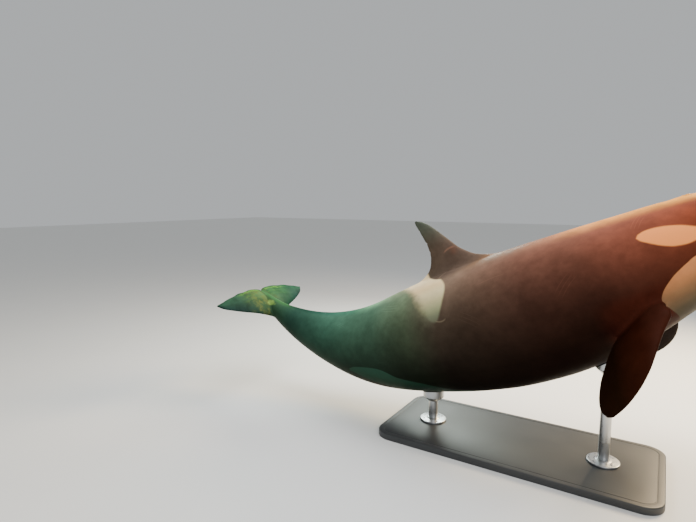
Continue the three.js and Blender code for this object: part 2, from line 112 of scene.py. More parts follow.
# Thousandths of the body length, measured from the snout and from the spine
body = dict(
    length=5.5,
    holdAt=0.42,  # share of the length that passes over (holdX, holdZ)
    holdX=-0.11,
    holdZ=1.2,
    pitch=[
        (0.0, 32.3), (0.15, 29.5), (0.3, 26.5), (0.45, 21.6), (0.6, 19.2),
        (0.72, 3.8), (0.84, -14.4), (0.94, -29.6), (1.06, -42.5),
    ],
    sections=[  # place, back, belly, half width, keel
        (0, 18, 17, 19, 0.95),
        (10, 24.5, 22.5, 27, 0.94),
        (25, 36, 29, 38.5, 0.92),
        (50, 51, 37, 52, 0.91),
        (80, 64, 46, 63, 0.93),
        (120, 75.5, 56.5, 74, 0.95),
        (160, 83.5, 67.5, 82.5, 0.97),
        (200, 89.5, 80, 88.5, 1),
        (250, 96.5, 94, 94, 1),
        (300, 102, 104, 97.5, 1),
        (360, 106.5, 110.5, 98.5, 1),
        (420, 108, 112.5, 97.5, 1),
        (480, 106.5, 109.5, 93.5, 1),
        (540, 101.5, 103, 87.5, 1.02),
        (600, 94, 94, 79, 1.06),
        (660, 83.5, 82.5, 68.5, 1.12),
        (720, 71.5, 69, 56.5, 1.22),
        (780, 58.5, 54.5, 44, 1.34),
        (840, 44.5, 42, 32.5, 1.45),
        (890, 31.5, 32.5, 24.5, 1.45),
        (930, 19.5, 24.5, 19, 1.35),
        (965, 11, 16, 14, 1.15),
        (985, 7, 8.5, 10, 1),
    ],
    snoutRounding=0.016,
    snoutPoint=-6,
    tailEnd=0.985,
    columns=112,
    rows=196,
    coarse=0.031,  # longest edge on the plain flank
    noseRings=(0.008, 0.127, 0.008),  # roots of the share of the length: first, end and step
    firstRow=0.0185,  # share of the length where the evenly spaced rows start
    rootZones=[  # where fin, flippers and flukes grow out: place, aside, height and reach
        (0.468, 0, 0.58, (0.52, 0.22, 0.12)),
        (0.222, 0.42, -0.30, (0.34, 0.25, 0.28)),
        (0.222, -0.42, -0.30, (0.34, 0.25, 0.28)),
        (0.965, 0, 0, (0.30, 0.3, 0.3)),
    ],
)
thousandth = body["length"] / 1000
pitchAt = smoothCurve(body["pitch"])
backAt, bellyAt, widthAt, keelAt = [smoothCurve(body["sections"], column) for column in (1, 2, 3, 4)]

spineStart, spineEnd, spineStep = -0.02, 1.06, 0.0025
spinePlaces = np.arange(spineStart, spineEnd + spineStep / 2, spineStep)


def makeSpine():
    # The pitch added up step by step from the snout, then moved so the hold point lands in place
    pitch = np.radians(pitchAt(spinePlaces))
    forward = np.stack([np.cos(pitch), np.sin(pitch)], axis=1)
    steps = (forward[1:] + forward[:-1]) / 2 * spineStep * body["length"]
    points = np.concatenate([np.zeros((1, 2)), -np.cumsum(steps, axis=0)])
    held = [np.interp(body["holdAt"], spinePlaces, points[:, k]) for k in (0, 1)]
    return points - held + (body["holdX"], body["holdZ"])


spine = makeSpine()


def bend(straight):
    # Straight (share of the length, left, up) to the row frame: a step up the tilted section
    along, left, up = np.moveaxis(np.asarray(straight, float), -1, 0)
    pitch = np.radians(pitchAt(along))
    x = np.interp(along, spinePlaces, spine[:, 0]) - np.sin(pitch) * up
    z = np.interp(along, spinePlaces, spine[:, 1]) + np.cos(pitch) * up
    return np.stack([x, left, z], axis=-1)


def unbend(points):
    # Nearest spine station first, then Newton steps until the point lies square to the spine
    nearest = [np.argmin(((part[:, None, [0, 2]] - spine[None, ::4]) ** 2).sum(2), axis=1)
               for part in np.array_split(points, 40)]
    along = spinePlaces[::4][np.concatenate(nearest)]
    for _ in range(8):
        pitch = np.radians(pitchAt(along))
        dx = points[:, 0] - np.interp(along, spinePlaces, spine[:, 0])
        dz = points[:, 2] - np.interp(along, spinePlaces, spine[:, 1])
        ahead = dx * np.cos(pitch) + dz * np.sin(pitch)
        along = np.clip(along - 0.9 * ahead / body["length"], spineStart, spineEnd)
    up = -dx * np.sin(pitch) + dz * np.cos(pitch)
    return np.stack([along, points[:, 1], up], axis=1)


def directions(along):  # forward, left and up at a place on the spine
    pitch = math.radians(float(pitchAt(along)))
    forward = np.array([math.cos(pitch), 0, math.sin(pitch)])
    return forward, np.array([0.0, 1.0, 0.0]), np.array([-math.sin(pitch), 0, math.cos(pitch)])


def snoutFactor(along):  # a quarter circle from 0 at the snout's tip to 1 where the sections are whole
    u = np.clip(along / body["snoutRounding"], 0, 1)
    return np.sqrt(1 - (1 - u) ** 2)


def plainSkin(along, angle):
    # An oval section, back and belly of their own height, its sides sharpened by the keel
    share = along * 1000
    closing = snoutFactor(along)
    half = np.where(np.sin(angle) >= 0, backAt(share), bellyAt(share)) * thousandth
    across = np.sign(np.cos(angle)) * np.abs(np.cos(angle)) ** keelAt(share)
    left = widthAt(share) * thousandth * closing * across
    up = half * closing * np.sin(angle) + (1 - closing) * body["snoutPoint"] * thousandth
    return np.stack([along, left, up], axis=-1)


def inMetres(straight):  # the straight body laid along X, nose ahead
    return straight * (-body["length"], 1, 1)


def skinNormal(along, angle):
    # Cross product of small steps along and round the plain skin
    root = np.sqrt(along)
    step, turn = 0.0005, 0.002
    ahead = inMetres(plainSkin(np.maximum(root - step, 0) ** 2, angle))
    behind = inMetres(plainSkin((root + step) ** 2, angle))
    over, under = [inMetres(plainSkin(along, angle + turned)) for turned in (turn, -turn)]
    normal = np.cross(behind - ahead, over - under)
    size = np.linalg.norm(normal, axis=-1, keepdims=True)
    return np.where(size > 1e-12, normal / np.maximum(size, 1e-12), (1.0, 0, 0))


# The mouth line parts upper from lower columns, so that the lips follow it
mouth = dict(
    line=[(0, -6), (20, -10.5), (50, -11.5), (70, -9.5), (86, -5.5)],
    onward=[(110, -2.5), (150, 0), (1000, 0)],
    corner=0.086,
    crease=(0.009, 0.0034),  # depth and width
    creaseEnd=(-0.018, 0.0015),  # where it fades, as shares of the length past the corner
    ridges=[  # height, distance above the line, width
        (0.0046, 0.017, 0.011),  # upper lip
        (0.0052, -0.016, 0.010),  # lower lip
        (-0.0022, 0.038, 0.009),  # groove over the upper lip
        (-0.0018, -0.036, 0.010),  # groove under the lower lip
    ],
    ridgeEnd=(-0.014, 0.004),
    dimple=(0.0055, 0.008, 0.006),  # at the corner: depth, reach along and up
    folds=[  # behind the corner: depth, width, slope, curve, then its start, full depth, fading and end
        (0.0028, 0.0042, 0.35, 3.0, (0, 0.008, 0.02, 0.045)),
        (0.0020, 0.0045, -0.5, -4.0, (0.002, 0.012, 0.025, 0.05)),
    ],
)
mouthAt = smoothCurve(mouth["line"] + mouth["onward"])


def mouthAngle(along):  # arc sine of the mouth line's depth below the spine over the belly's depth
    closing = np.maximum(snoutFactor(along), 1e-3)
    down = (1 - closing) * body["snoutPoint"] - mouthAt(along * 1000)
    return np.arcsin(np.clip(down / (bellyAt(along * 1000) * closing), 0, 1))


def columnAngle(column, along):
    # Column 0 is the left mouth line, 0.5 the right one; the back lies between them
    low = mouthAngle(along)
    over = -low + (math.pi + 2 * low) * column / 0.5
    under = math.pi + low + (math.pi - 2 * low) * (column - 0.5) / 0.5
    return np.where(column <= 0.5, over, under)


def angleAtHeight(along, height, side):  # arc sine of the height over the back's or the belly's
    closing = snoutFactor(along)
    above = height - (1 - closing) * body["snoutPoint"]
    half = backAt(along * 1000) if above > 0 else bellyAt(along * 1000)
    angle = math.asin(max(-1, min(1, float(above / (half * closing)))))
    return angle if side > 0 else math.pi - angle


def skinFrame(along, angle):
    # A place on the straight skin with its forward, sideways and outward directions
    spot = inMetres(plainSkin(np.float64(along), np.float64(angle)))
    out = skinNormal(np.float64(along), np.float64(angle))
    ahead = np.array([1.0, 0, 0]) - out * out[0]
    ahead /= np.linalg.norm(ahead)
    return spot, ahead, np.cross(out, ahead), out


eye = dict(
    place=(0.098, 7.5),  # share of the length, thousandths above the spine
    ball=0.029,
    sunk=0.0185,
    cornea=(0.0022, 0.014),  # height and reach of its dome
    opening=(0.029, 0.0125, 0.85),  # half length and height between the lids, and how blunt they end
    droop=0.0025,  # the front corner sits lower
    tilt=-17,  # degrees, front corner down
    recess=0.021,
    recessEdge=(-0.0045, 0.0012),
    mound=(0.0085, 0.078, 0.046, 1.3),  # height, reach along, reach up, steepness
    rim=(0.0036, 0.0062, 0.0046),  # height, distance from the opening, width
    folds=[  # height, distance from the opening, width, and whether above or below
        (-0.0026, 0.0185, 0.0032, 1), (-0.0016, 0.030, 0.004, 1), (-0.0020, 0.0165, 0.003, -1),
    ],
    foldEnds=(0.028, 0.060),
    foldStart=(-0.004, 0.006),  # metres above or below the corners where a fold comes in
    near=(0.15, 0.2),  # metres out and along the skin that the eye's forms reach at most
    fan=(0.0011, 0.75, 15, 0.6, (0.036, 0.05, 0.06, 0.10)),  # depth, spread, count, shift, stretch
)
blowhole = dict(
    place=0.114,
    aside=0.008,  # to the left of the middle
    radius=0.042,
    ahead=0.6,  # radii from the place to the slit's centre
    horns=(1.15, 1.5),  # radians from straight back where the slit fades and ends
    mound=(0.007, 0.085),  # height and reach
    rolls=[  # height, distance outside the slit, width
        (-0.013, 0, 0.0036),  # the slit
        (0.0042, -0.016, 0.010),  # the plug's lip
        (0.0028, 0.0125, 0.008),
        (-0.0016, 0.030, 0.006),
    ],
)
eyeFrames = {side: skinFrame(eye["place"][0], angleAtHeight(*eye["place"], side)) for side in (1, -1)}
blowFrame = skinFrame(blowhole["place"], math.pi / 2 - blowhole["aside"] / (75.5 * thousandth))


def nearPlace(points, placed):  # forward, sideways and outward distance from a place on the skin
    spot, ahead, across, out = placed
    offset = points - spot
    return offset @ ahead, offset @ across, offset @ out


def lidEdge(p, q):
    # Distance outside an almond opening: a parabola's half height over the length, pointed ends
    long, high, blunt = eye["opening"]
    up = np.abs(q + eye["droop"] * (p / long))
    edge = high * np.clip(1 - (p / long) ** 2, 0, None) ** blunt
    beyond = np.maximum(np.abs(p) - long * 0.97, 0)
    slant = np.sqrt(1 + (1.5 * high / long * np.clip(np.abs(p) / long, 0, 1)) ** 2)
    away = (up - edge) / slant
    return np.hypot(np.maximum(away, 0), beyond) + np.minimum(away, 0) * (beyond == 0)


def eyeRelief(points):
    # A low mound with an almond recess, a rolled rim round it, folds above and below, and a fan
    # of fine creases behind the rear corner
    total = np.zeros(len(points))
    turned = math.radians(eye["tilt"])
    for side, placed in eyeFrames.items():
        p, q, far = nearPlace(points, placed)
        q = -q * side  # up on either flank
        close = (np.abs(far) < eye["near"][0]) & (np.hypot(p, q) < eye["near"][1])
        p, q = p * math.cos(turned) + q * math.sin(turned), q * math.cos(turned) - p * math.sin(turned)
        height, reach, tall, steep = eye["mound"]
        relief = height * np.exp(-(((p / reach) ** 2 + (q / tall) ** 2) ** steep))
        edge = lidEdge(p, q)
        relief -= eye["recess"] * (1 - rise(edge, *eye["recessEdge"]))
        height, away, width = eye["rim"]
        relief += height * bump(edge - away, width)
        ends = 1 - rise(np.abs(p), *eye["foldEnds"])
        for height, away, width, upper in eye["folds"]:
            relief += height * bump(edge - away, width) * rise(q * upper, *eye["foldStart"]) * ends
        depth, spread, count, shift, stretch = eye["fan"]
        turn = np.arctan2(q, -p)
        fan = bump(turn, spread) * between(-p, *stretch)
        relief -= depth * fan * (0.5 + 0.5 * np.cos(turn * count + shift)) ** 2
        total += np.where(close, relief, 0)
    return total


def blowholeRelief(points):
    # A round mound with a crescent slit, horns forward, between rolls on a larger and a smaller circle
    p, q, far = nearPlace(points, blowFrame)
    ahead = p - blowhole["ahead"] * blowhole["radius"]
    away = np.hypot(ahead, q) - blowhole["radius"]
    inside = 1 - rise(np.abs(np.arctan2(q, -ahead)), *blowhole["horns"])
    height, reach = blowhole["mound"]
    relief = height * np.exp(-((np.hypot(p, q) / reach) ** 3))
    for height, place, width in blowhole["rolls"]:
        relief += height * bump(away - place, width) * inside
    return np.where(np.abs(far) < 0.1, relief, 0)


def mouthRelief(along, up):
    # A narrow crease along the mouth line between two rolled lips, closing at a dimpled corner,
    # with one fold that runs up from it and one that runs down, each a parabola
    away = up - mouthAt(along * 1000) * thousandth
    past = along - mouth["corner"]
    depth, width = mouth["crease"]
    relief = -depth * bump(away, width) * (1 - rise(past, *mouth["creaseEnd"]))
    for height, place, width in mouth["ridges"]:
        relief += height * bump(away - place, width) * (1 - rise(past, *mouth["ridgeEnd"]))
    behind = (past - 0.0005) * body["length"]
    depth, reach, tall = mouth["dimple"]
    relief -= depth * np.exp(-((behind / reach) ** 2 + (away / tall) ** 2))
    for depth, width, slope, curve, stretch in mouth["folds"]:
        relief -= depth * bump(away - slope * behind - curve * behind ** 2, width) * between(behind, *stretch)
    return relief


under = dict(  # creases on the belly's middle line
    navel=(0.475, 0.007, 0.022, 0.007),  # share of the length, depth, reach along and aside
    slit=(0.652, 0.694),  # its stretch, how far it fades at either end, and its shape
    slitFades=(0.008, 0.006),
    slitShape=[(-0.010, 0, 0.0045), (0.005, 0.016, 0.011)],  # height, distance aside, width
    teat=(0.670, 0.684),
    teatFades=(0.004, 0.004),
    teatShape=[(-0.006, 0.048, 0.004), (0.0028, 0.048, 0.016)],
    below=(0.1, 0.2),  # metres under the spine's line where the creases start and are full
)


def bellyRelief(along, left, up):
    # Short creases and swellings beside the middle line, each fading at both ends
    place, depth, reach, wide = under["navel"]
    behind = (along - place) * body["length"]
    relief = -depth * np.exp(-((behind / reach) ** 2 + (left / wide) ** 2))
    for name in ("slit", "teat"):
        start, end = under[name]
        first, last = under[name + "Fades"]
        shown = between(along, start, start + first, end - last, end)
        for height, aside, width in under[name + "Shape"]:
            relief += height * bump(np.abs(left) - aside, width) * shown
    return relief * rise(-up, *under["below"])


head = dict(
    beak=(0.006, 0.085, 0.035),  # dip over the upper lip: depth, distance above the line, width
    beakStretch=(0, 0.002, 0.012, 0.04),
    chin=(0.023, 0.013, 0.03),  # how far the lower jaw is set back, over what height and share
    nape=(0.0015, 0.139, 0.040),  # fold behind the head: depth, share of the length, width
    napeSide=(0.35, 0.9),  # sines of the angle round the section where it starts and is full
    throat=(0.003, 0.10, 0.9, 0.016),  # two grooves: depth, distance aside, spread, width
    throatStretch=(0.03, 0.05, 0.10, 0.13),
    throatSide=(0.2, 0.6),
)


def broadRelief(along, angle, left, up):
    # Soft forms: the beak's dip, the chin set back, the nape's fold and the throat's two grooves
    above = up - mouthAt(along * 1000) * thousandth
    depth, place, width = head["beak"]
    relief = -depth * bump(above - place, width) * between(along, *head["beakStretch"])
    depth, tall, end = head["chin"]
    relief -= depth * rise(-above, 0, tall) * (1 - rise(along, 0, end))
    depth, place, width = head["nape"]
    relief -= depth * bump((along - place) * body["length"], width) * rise(np.sin(angle), *head["napeSide"])
    depth, aside, spread, width = head["throat"]
    groove = np.abs(left) - aside - spread * (along - 0.02)
    shown = rise(-np.sin(angle), *head["throatSide"]) * between(along, *head["throatStretch"])
    return relief - depth * bump(groove, width) * shown


def outside(along, start, end):  # metres before the start or past the end of a stretch
    return np.maximum(np.maximum(start - along, along - end), 0) * body["length"]


def meshDensity(along, points):
    # Longest edge wanted: fine at lips, lids, blowhole, creases and roots, coarse on the flanks
    left, up = points[:, 1], points[:, 2]
    length = body["length"]
    zones = [  # shortest edge, growth, distance, and how far the edge stays shortest
        (0.0135, 0.10, (along - 0.15) * length, 0),
        (0.0030, 0.26, np.hypot(up - mouthAt(along * 1000) * thousandth,
                                np.maximum(along - mouth["corner"] - 0.004, 0) * length), 0.006),
    ]
    for placed in eyeFrames.values():
        p, q, far = nearPlace(points, placed)
        zones.append((0.0023, 0.20, np.hypot(p, q * 1.3) + np.abs(far) * (np.abs(far) > 0.05) * 4, 0.05))
    p, q, far = nearPlace(points, blowFrame)
    rolls = np.abs(np.hypot(p - blowhole["ahead"] * blowhole["radius"], q) - blowhole["radius"])
    zones.append((0.0026, 0.16, rolls + 25 * (far < -0.1), 0.006))
    for place, aside, height, reach in body["rootZones"]:
        away = np.linalg.norm((points - (-place * length, aside, height)) / reach, axis=1)
        zones.append((0.0115, 0.08, away, 1))
    above = 5.0 * (up >= -0.2)  # leaves the back out of the belly's zones
    aside = under["teatShape"][0][1]
    zones += [
        (0.004, 0.2, np.hypot(left, outside(along, *under["slit"])) + above, 0.012),
        (0.004, 0.2, np.hypot(np.abs(left) - aside, outside(along, *under["teat"])) + above, 0.01),
        (0.004, 0.2, np.hypot(left, (along - under["navel"][0]) * length) + above, 0.02),
    ]
    sizes = [least + growth * np.maximum(far - free, 0) for least, growth, far, free in zones]
    return np.minimum.reduce([np.full(len(points), body["coarse"]), *sizes])


def splitEdges(values, faces, shape, density, rounds):
    # Each round halves the edges that are longer than wanted and cuts their triangles to fit
    for _ in range(rounds):
        points = shape(values)
        wanted = density(values, points)
        count = len(values)
        sides = np.concatenate([faces[:, [0, 1]], faces[:, [1, 2]], faces[:, [2, 0]]])
        sides.sort(axis=1)
        keys, which = np.unique(sides[:, 0] * count + sides[:, 1], return_inverse=True)
        a, b = keys // count, keys % count
        longer = np.linalg.norm(points[a] - points[b], axis=1) > 1.3 * np.minimum(wanted[a], wanted[b])
        if not longer.any():
            break
        middle = np.full(len(keys), -1)
        middle[longer] = count + np.arange(longer.sum())
        values = np.concatenate([values, halfway(values[a[longer]], values[b[longer]])])
        mids = middle[which.reshape(3, -1).T]
        faces = cutTriangles(faces, mids, shape(values))
    return values, faces


def halfway(one, other):
    # The mean of two points' values; columns wrap round, and a pole takes the other's column
    column = other[:, 1] - one[:, 1]
    column = one[:, 1] + (column - np.round(column)) / 2
    column = np.where(one[:, 0] == 0, other[:, 1], np.where(other[:, 0] == 0, one[:, 1], column)) % 1.0
    return np.stack([(one[:, 0] + other[:, 0]) / 2, column, (one[:, 2] + other[:, 2]) / 2], axis=1)


def cutTriangles(faces, mids, points):
    # One triangle for no cut side, two for one, three for two and four for three
    cuts = (mids >= 0).sum(axis=1)
    parts = [faces[cuts == 0]]
    turn = np.zeros(len(faces), int)
    turn[cuts == 1] = np.argmax(mids[cuts == 1] >= 0, axis=1)
    turn[cuts == 2] = (np.argmax(mids[cuts == 2] < 0, axis=1) + 1) % 3
    order = (turn[:, None] + np.arange(3)) % 3
    f, m = np.take_along_axis(faces, order, 1), np.take_along_axis(mids, order, 1)
    a, b, c, ab, bc, ca = *f.T, *m.T
    one = cuts == 1
    parts += [np.stack([a, ab, c], 1)[one], np.stack([ab, b, c], 1)[one]]
    two = cuts == 2
    parts.append(np.stack([ab, b, bc], 1)[two])
    diagonals = [np.linalg.norm(points[p] - points[q], axis=1) for p, q in ((a, bc), (ab, c))]
    shorter = diagonals[0] < diagonals[1]
    parts += [np.stack(corners, 1)[two & shorter] for corners in ((a, ab, bc), (a, bc, c))]
    parts += [np.stack(corners, 1)[two & ~shorter] for corners in ((a, ab, c), (ab, bc, c))]
    quarters = (a, ab, ca), (ab, b, bc), (ca, bc, c), (ab, bc, ca)
    parts += [np.stack(corners, 1)[cuts == 3] for corners in quarters]
    return np.concatenate(parts)


def gridFaces(rows, columns, offset=0):
    # Two triangles for each cell of a grid whose last column joins the first
    i, j = np.meshgrid(np.arange(rows - 1), np.arange(columns), indexing="ij")
    a = offset + i * columns + j
    b = offset + i * columns + (j + 1) % columns
    c, d = a + columns, b + columns
    return np.concatenate([np.stack(corners, -1).reshape(-1, 3) for corners in ((a, c, b), (b, c, d))])


def fanFaces(middle, first, columns, forward):  # triangles from a pole to each side of a ring
    here = first + np.arange(columns)
    ahead = first + (np.arange(columns) + 1) % columns
    pair = (here, ahead) if forward else (ahead, here)
    return np.stack([np.full(columns, middle), *pair], axis=1)


def straightShape(values):
    # Values are the root of the share of the length, the column and how far the end is filled
    along = values[:, 0] ** 2
    straight = plainSkin(along, columnAngle(values[:, 1], along))
    straight[:, 1:] *= values[:, 2:3]
    return inMetres(straight)


def bodyMesh():
    # Rings from the snout's pole to the tail's end, refined, then pushed out along the normal
    even = np.linspace(body["firstRow"], body["tailEnd"], body["rows"])
    places = np.concatenate([np.arange(*body["noseRings"]), np.sqrt(even)])
    columns = body["columns"]
    grid = np.stack(np.meshgrid(places, np.arange(columns) / columns, indexing="ij"), -1).reshape(-1, 2)
    ends = np.array([[0, 0, 1], [places[-1], 0, 0]])
    values = np.concatenate([np.column_stack([grid, np.ones(len(grid))]), ends])
    last = len(grid) - columns
    faces = np.concatenate([
        gridFaces(len(places), columns),
        fanFaces(len(grid), 0, columns, True),
        fanFaces(len(grid) + 1, last, columns, False),
    ])

    def density(values, points):
        return meshDensity(values[:, 0] ** 2, points)

    values, faces = splitEdges(values, faces, straightShape, density, 6)
    along = values[:, 0] ** 2
    angle = columnAngle(values[:, 1], along)
    plain = straightShape(values)
    relief = mouthRelief(along, plain[:, 2]) + eyeRelief(plain) + blowholeRelief(plain)
    relief += bellyRelief(along, plain[:, 1], plain[:, 2])
    relief += broadRelief(along, angle, plain[:, 1], plain[:, 2])
    relief *= values[:, 2]
    carved = plain + skinNormal(along, angle) * relief[:, None]
    return bend(carved / (-body["length"], 1, 1)), faces


def meshObject(name, points, faces):  # a smooth-shaded piece at the origin
    mesh = bpy.data.meshes.new(name)
    mesh.from_pydata(points.tolist(), [], faces.tolist())
    mesh.polygons.foreach_set("use_smooth", np.ones(len(mesh.polygons), bool))
    mesh.update()
    made = bpy.data.objects.new(name, mesh)
    bpy.context.scene.collection.objects.link(made)
    return made


bodyPoints, bodyFaces = bodyMesh()
print("body worked out:", len(bodyFaces), "triangles")


# Fin, flippers and flukes

blade = dict(
    foil=2.6,  # makes the foil's greatest height 1
    mix=(0.78, 0.22),  # shares of the foil and of the oval
)


def bladeRows(front, rear, face, thickness, around):
    # Sections between front and rear points, thickest a third back: a mix of a foil, sqrt(b)(1-b) at
    # the share b of the chord, and an oval
    turn = 2 * np.pi * np.arange(around) / around
    back = (1 - np.cos(turn)) / 2
    foil = blade["foil"] * np.sqrt(back) * (1 - back)
    share = blade["mix"][0] * foil + blade["mix"][1] * np.abs(np.sin(turn))
    share = share * np.sign(np.sin(turn)) / 2
    chord = (rear - front)[:, None, :] * back[None, :, None]
    return front[:, None, :] + chord + face[:, None, :] * (thickness[:, None] * share)[:, :, None]


def domedRows(rows, outward, steps=6):
    # A round end: the last section drawn in by a cosine while a sine carries it outward
    middle = rows[-1].mean(axis=0)
    turns = np.linspace(0, np.pi / 2, steps + 1)[1:-1]
    drawn = middle + (rows[-1] - middle) * np.cos(turns)[:, None, None]
    return np.concatenate([rows, drawn + outward * np.sin(turns)[:, None, None]]), middle + outward


def closedRows(rows, start, end):
    # The rows as one closed surface with a pole at each end
    count, around = rows.shape[:2]
    points = np.concatenate([rows.reshape(-1, 3), [start, end]])
    faces = np.concatenate([
        gridFaces(count, around),
        fanFaces(count * around, 0, around, True),
        fanFaces(count * around + 1, (count - 1) * around, around, False),
    ])
    corners = points[faces]
    volume = np.einsum("ij,ij->i", corners[:, 0], np.cross(corners[:, 1], corners[:, 2])).sum()
    return points, faces if volume > 0 else faces[:, ::-1]


dorsal = dict(
    levels=[  # height above the spine, front edge, rear edge, thickness
        (84, 372, 566, 30), (100, 380, 556, 27), (108, 396, 540, 24), (113, 416, 530, 21),
        (120, 434, 523.5, 17.5), (130, 448, 518.5, 15), (140, 459, 515.5, 13.5),
        (155, 470, 515, 11.5), (170, 481, 517.5, 9.5), (185, 492.5, 521, 7.5),
        (197, 503.5, 524, 6), (204, 513, 525.5, 4.5), (207, 519, 525, 3),
    ],
    nicks=[(146, 1.1, 2.2), (163.5, 1.6, 1.8), (188, 0.8, 1.6)],  # level, depth, width
    rows=78,
    around=56,
    dome=1.2,
)


def dorsalMesh():
    # Level sections between the two edge curves, bent with the back, nicked along the rear edge
    levels = np.linspace(dorsal["levels"][0][0], dorsal["levels"][-1][0], dorsal["rows"])
    front, rear, thick = [smoothCurve(dorsal["levels"], column)(levels) for column in (1, 2, 3)]
    for level, depth, width in dorsal["nicks"]:
        rear = rear - depth * bump(levels - level, width)
    zero = np.zeros_like(levels)
    face = np.tile((0.0, 1.0, 0.0), (len(levels), 1))
    rows = bladeRows(
        np.stack([front, zero, levels], 1) * (0.001, 1, thousandth),
        np.stack([rear, zero, levels], 1) * (0.001, 1, thousandth),
        face, thick * thousandth, dorsal["around"],
    )
    rows, tip = domedRows(rows, np.array([0.0008, 0, dorsal["dome"] * thousandth]))
    return closedRows(bend(rows), bend(rows[0].mean(axis=0)), bend(tip))


flipper = dict(
    plan=[  # share of the length, front edge, rear edge
        (-0.16, 24, -29), (-0.05, 32, -31), (0.02, 41, -32.5), (0.08, 44, -34), (0.16, 41.5, -36.8),
        (0.28, 38.8, -40.2), (0.42, 37.5, -41.8), (0.57, 36, -41.4), (0.72, 31, -37.5), (0.86, 21, -30),
        (0.95, 9.5, -20), (0.985, 1.5, -12),
    ],
    length=0.842,
    root=(0.226, -46),
    thickness=(0.112, 0.022),  # at the root and at the tip
    right=dict(back=24.5, down=34, twist=22),
    left=dict(back=13, down=46, twist=-1),
    dome=(0.011, -0.001),  # metres outward and ahead
    rows=60,
    around=56,
)


def flipperMesh(side):
    # Sections across an axis that leans back and down from the flank, turned by the twist
    pose = flipper["left" if side > 0 else "right"]
    along, height = flipper["root"]
    start = bend(plainSkin(np.float64(along), angleAtHeight(along, height, side)))
    forward, left, up = directions(along)
    back, down, twist = [math.radians(pose[name]) for name in ("back", "down", "twist")]
    spread = side * left * math.cos(down) - up * math.sin(down)
    axis = spread * math.cos(back) - forward * math.sin(back)
    chord = spread * math.sin(back) + forward * math.cos(back)
    normal = np.cross(axis, chord) * -side
    wide = chord * math.cos(twist) + normal * math.sin(twist)
    face = np.cross(axis, wide)
    places = np.linspace(flipper["plan"][0][0], flipper["plan"][-1][0], flipper["rows"])
    front, rear = [smoothCurve(flipper["plan"], column)(places) * thousandth for column in (1, 2)]
    thin = np.clip(1 - np.maximum(places, 0), 0, 1) ** 1.2
    thickness = flipper["thickness"][1] + (flipper["thickness"][0] - flipper["thickness"][1]) * thin
    middle = start + axis * places[:, None] * flipper["length"]
    rows = bladeRows(
        middle + wide * front[:, None], middle + wide * rear[:, None],
        np.tile(face, (len(places), 1)), thickness, flipper["around"],
    )
    outward, ahead = flipper["dome"]
    rows, tip = domedRows(rows, axis * outward + wide * ahead)
    return closedRows(rows, rows[0].mean(axis=0), tip)


flukes = dict(
    plan=[  # share of the half span, front and rear edge in thousandths behind the notch
        (0, -78, 0), (0.025, -76, 3.6), (0.05, -74, 5), (0.1, -70.3, 7), (0.2, -63.5, 8.2), (0.4, -52.5, 6),
        (0.6, -43.5, 2), (0.8, -32, -4), (0.93, -22, -7.8), (0.98, -14.5, -9), (1, -10.5, -9.6),
    ],
    notch=1.002,
    pitch=7.9,  # degrees, tips of the plane above the spine's line
    halfSpan=134.6,
    rise=4.2,  # the middle of each fluke arches up
    curl=9,  # and its tip curls down
    thickness=(28, 4),
    waves=(0.8, 23, 0.7),  # of the rear edge: thousandths, radians in a half span, and shift
    reach=0.99,  # share of the half span where the round tip starts
    dome=(0.010, 0.002),  # metres outward and to the rear
    rows=121,
    around=56,
)


def flukeMesh():
    # Fore-and-aft sections from one tip to the other, the middle ones meeting in the notch
    q = np.linspace(-flukes["reach"], flukes["reach"], flukes["rows"])
    out = np.abs(q)
    pitch = math.radians(flukes["pitch"])
    forward, left, up = directions(flukes["notch"])
    rearward = -forward * math.cos(pitch) + up * math.sin(pitch)
    normal = up * math.cos(pitch) + forward * math.sin(pitch)
    notch = bend(np.array([flukes["notch"], 0, 0]))
    front, rear = [smoothCurve(flukes["plan"], column)(out) for column in (1, 2)]
    size, count, shift = flukes["waves"]
    rear += size * np.sin(q * count + shift) * np.sin(np.pi * out) ** 2
    thick = flukes["thickness"][1] + (flukes["thickness"][0] - flukes["thickness"][1]) * (1 - out) ** 2
    middle = notch + left * (q * flukes["halfSpan"] * thousandth)[:, None]
    middle = middle + normal * ((flukes["rise"] * q ** 2 - flukes["curl"] * q ** 4) * thousandth)[:, None]
    rows = bladeRows(
        middle + rearward * (front * thousandth)[:, None],
        middle + rearward * (rear * thousandth)[:, None],
        np.tile(normal, (len(q), 1)), thick * thousandth, flukes["around"],
    )
    outward = left * flukes["dome"][0] + rearward * flukes["dome"][1]
    rows, end = domedRows(rows, outward)
    rows, start = domedRows(rows[::-1], outward * (1, -1, 1))
    return closedRows(rows[::-1], start, end)


dorsalPoints = dorsalMesh()
limbPoints = [flipperMesh(1), flipperMesh(-1), flukeMesh()]
print("fin, flippers and flukes worked out")


# One skin

skin = dict(
    fillet=0.075,  # how far the smoothing reaches from a join
    flukeFillet=0.045,
    passes=34,
    strength=0.6,
)


def unite(parts):
    # Closed meshes joined into one outer surface
    made = [meshObject("part", points, faces) for points, faces in parts]
    for other in made[1:]:
        join = made[0].modifiers.new("join", "BOOLEAN")
        join.operation = "UNION"
        join.solver = "MANIFOLD"
        join.object = other
    graph = bpy.context.evaluated_depsgraph_get()
    joined = bpy.data.meshes.new_from_object(made[0].evaluated_get(graph))
    joined.calc_loop_triangles()
    points = np.empty(len(joined.vertices) * 3, np.float32)
    joined.vertices.foreach_get("co", points)
    faces = np.empty(len(joined.loop_triangles) * 3, np.int32)
    joined.loop_triangles.foreach_get("vertices", faces)
    for part in made:
        bpy.data.meshes.remove(part.data)
    bpy.data.meshes.remove(joined)
    return points.reshape(-1, 3), faces.reshape(-1, 3).astype(int)


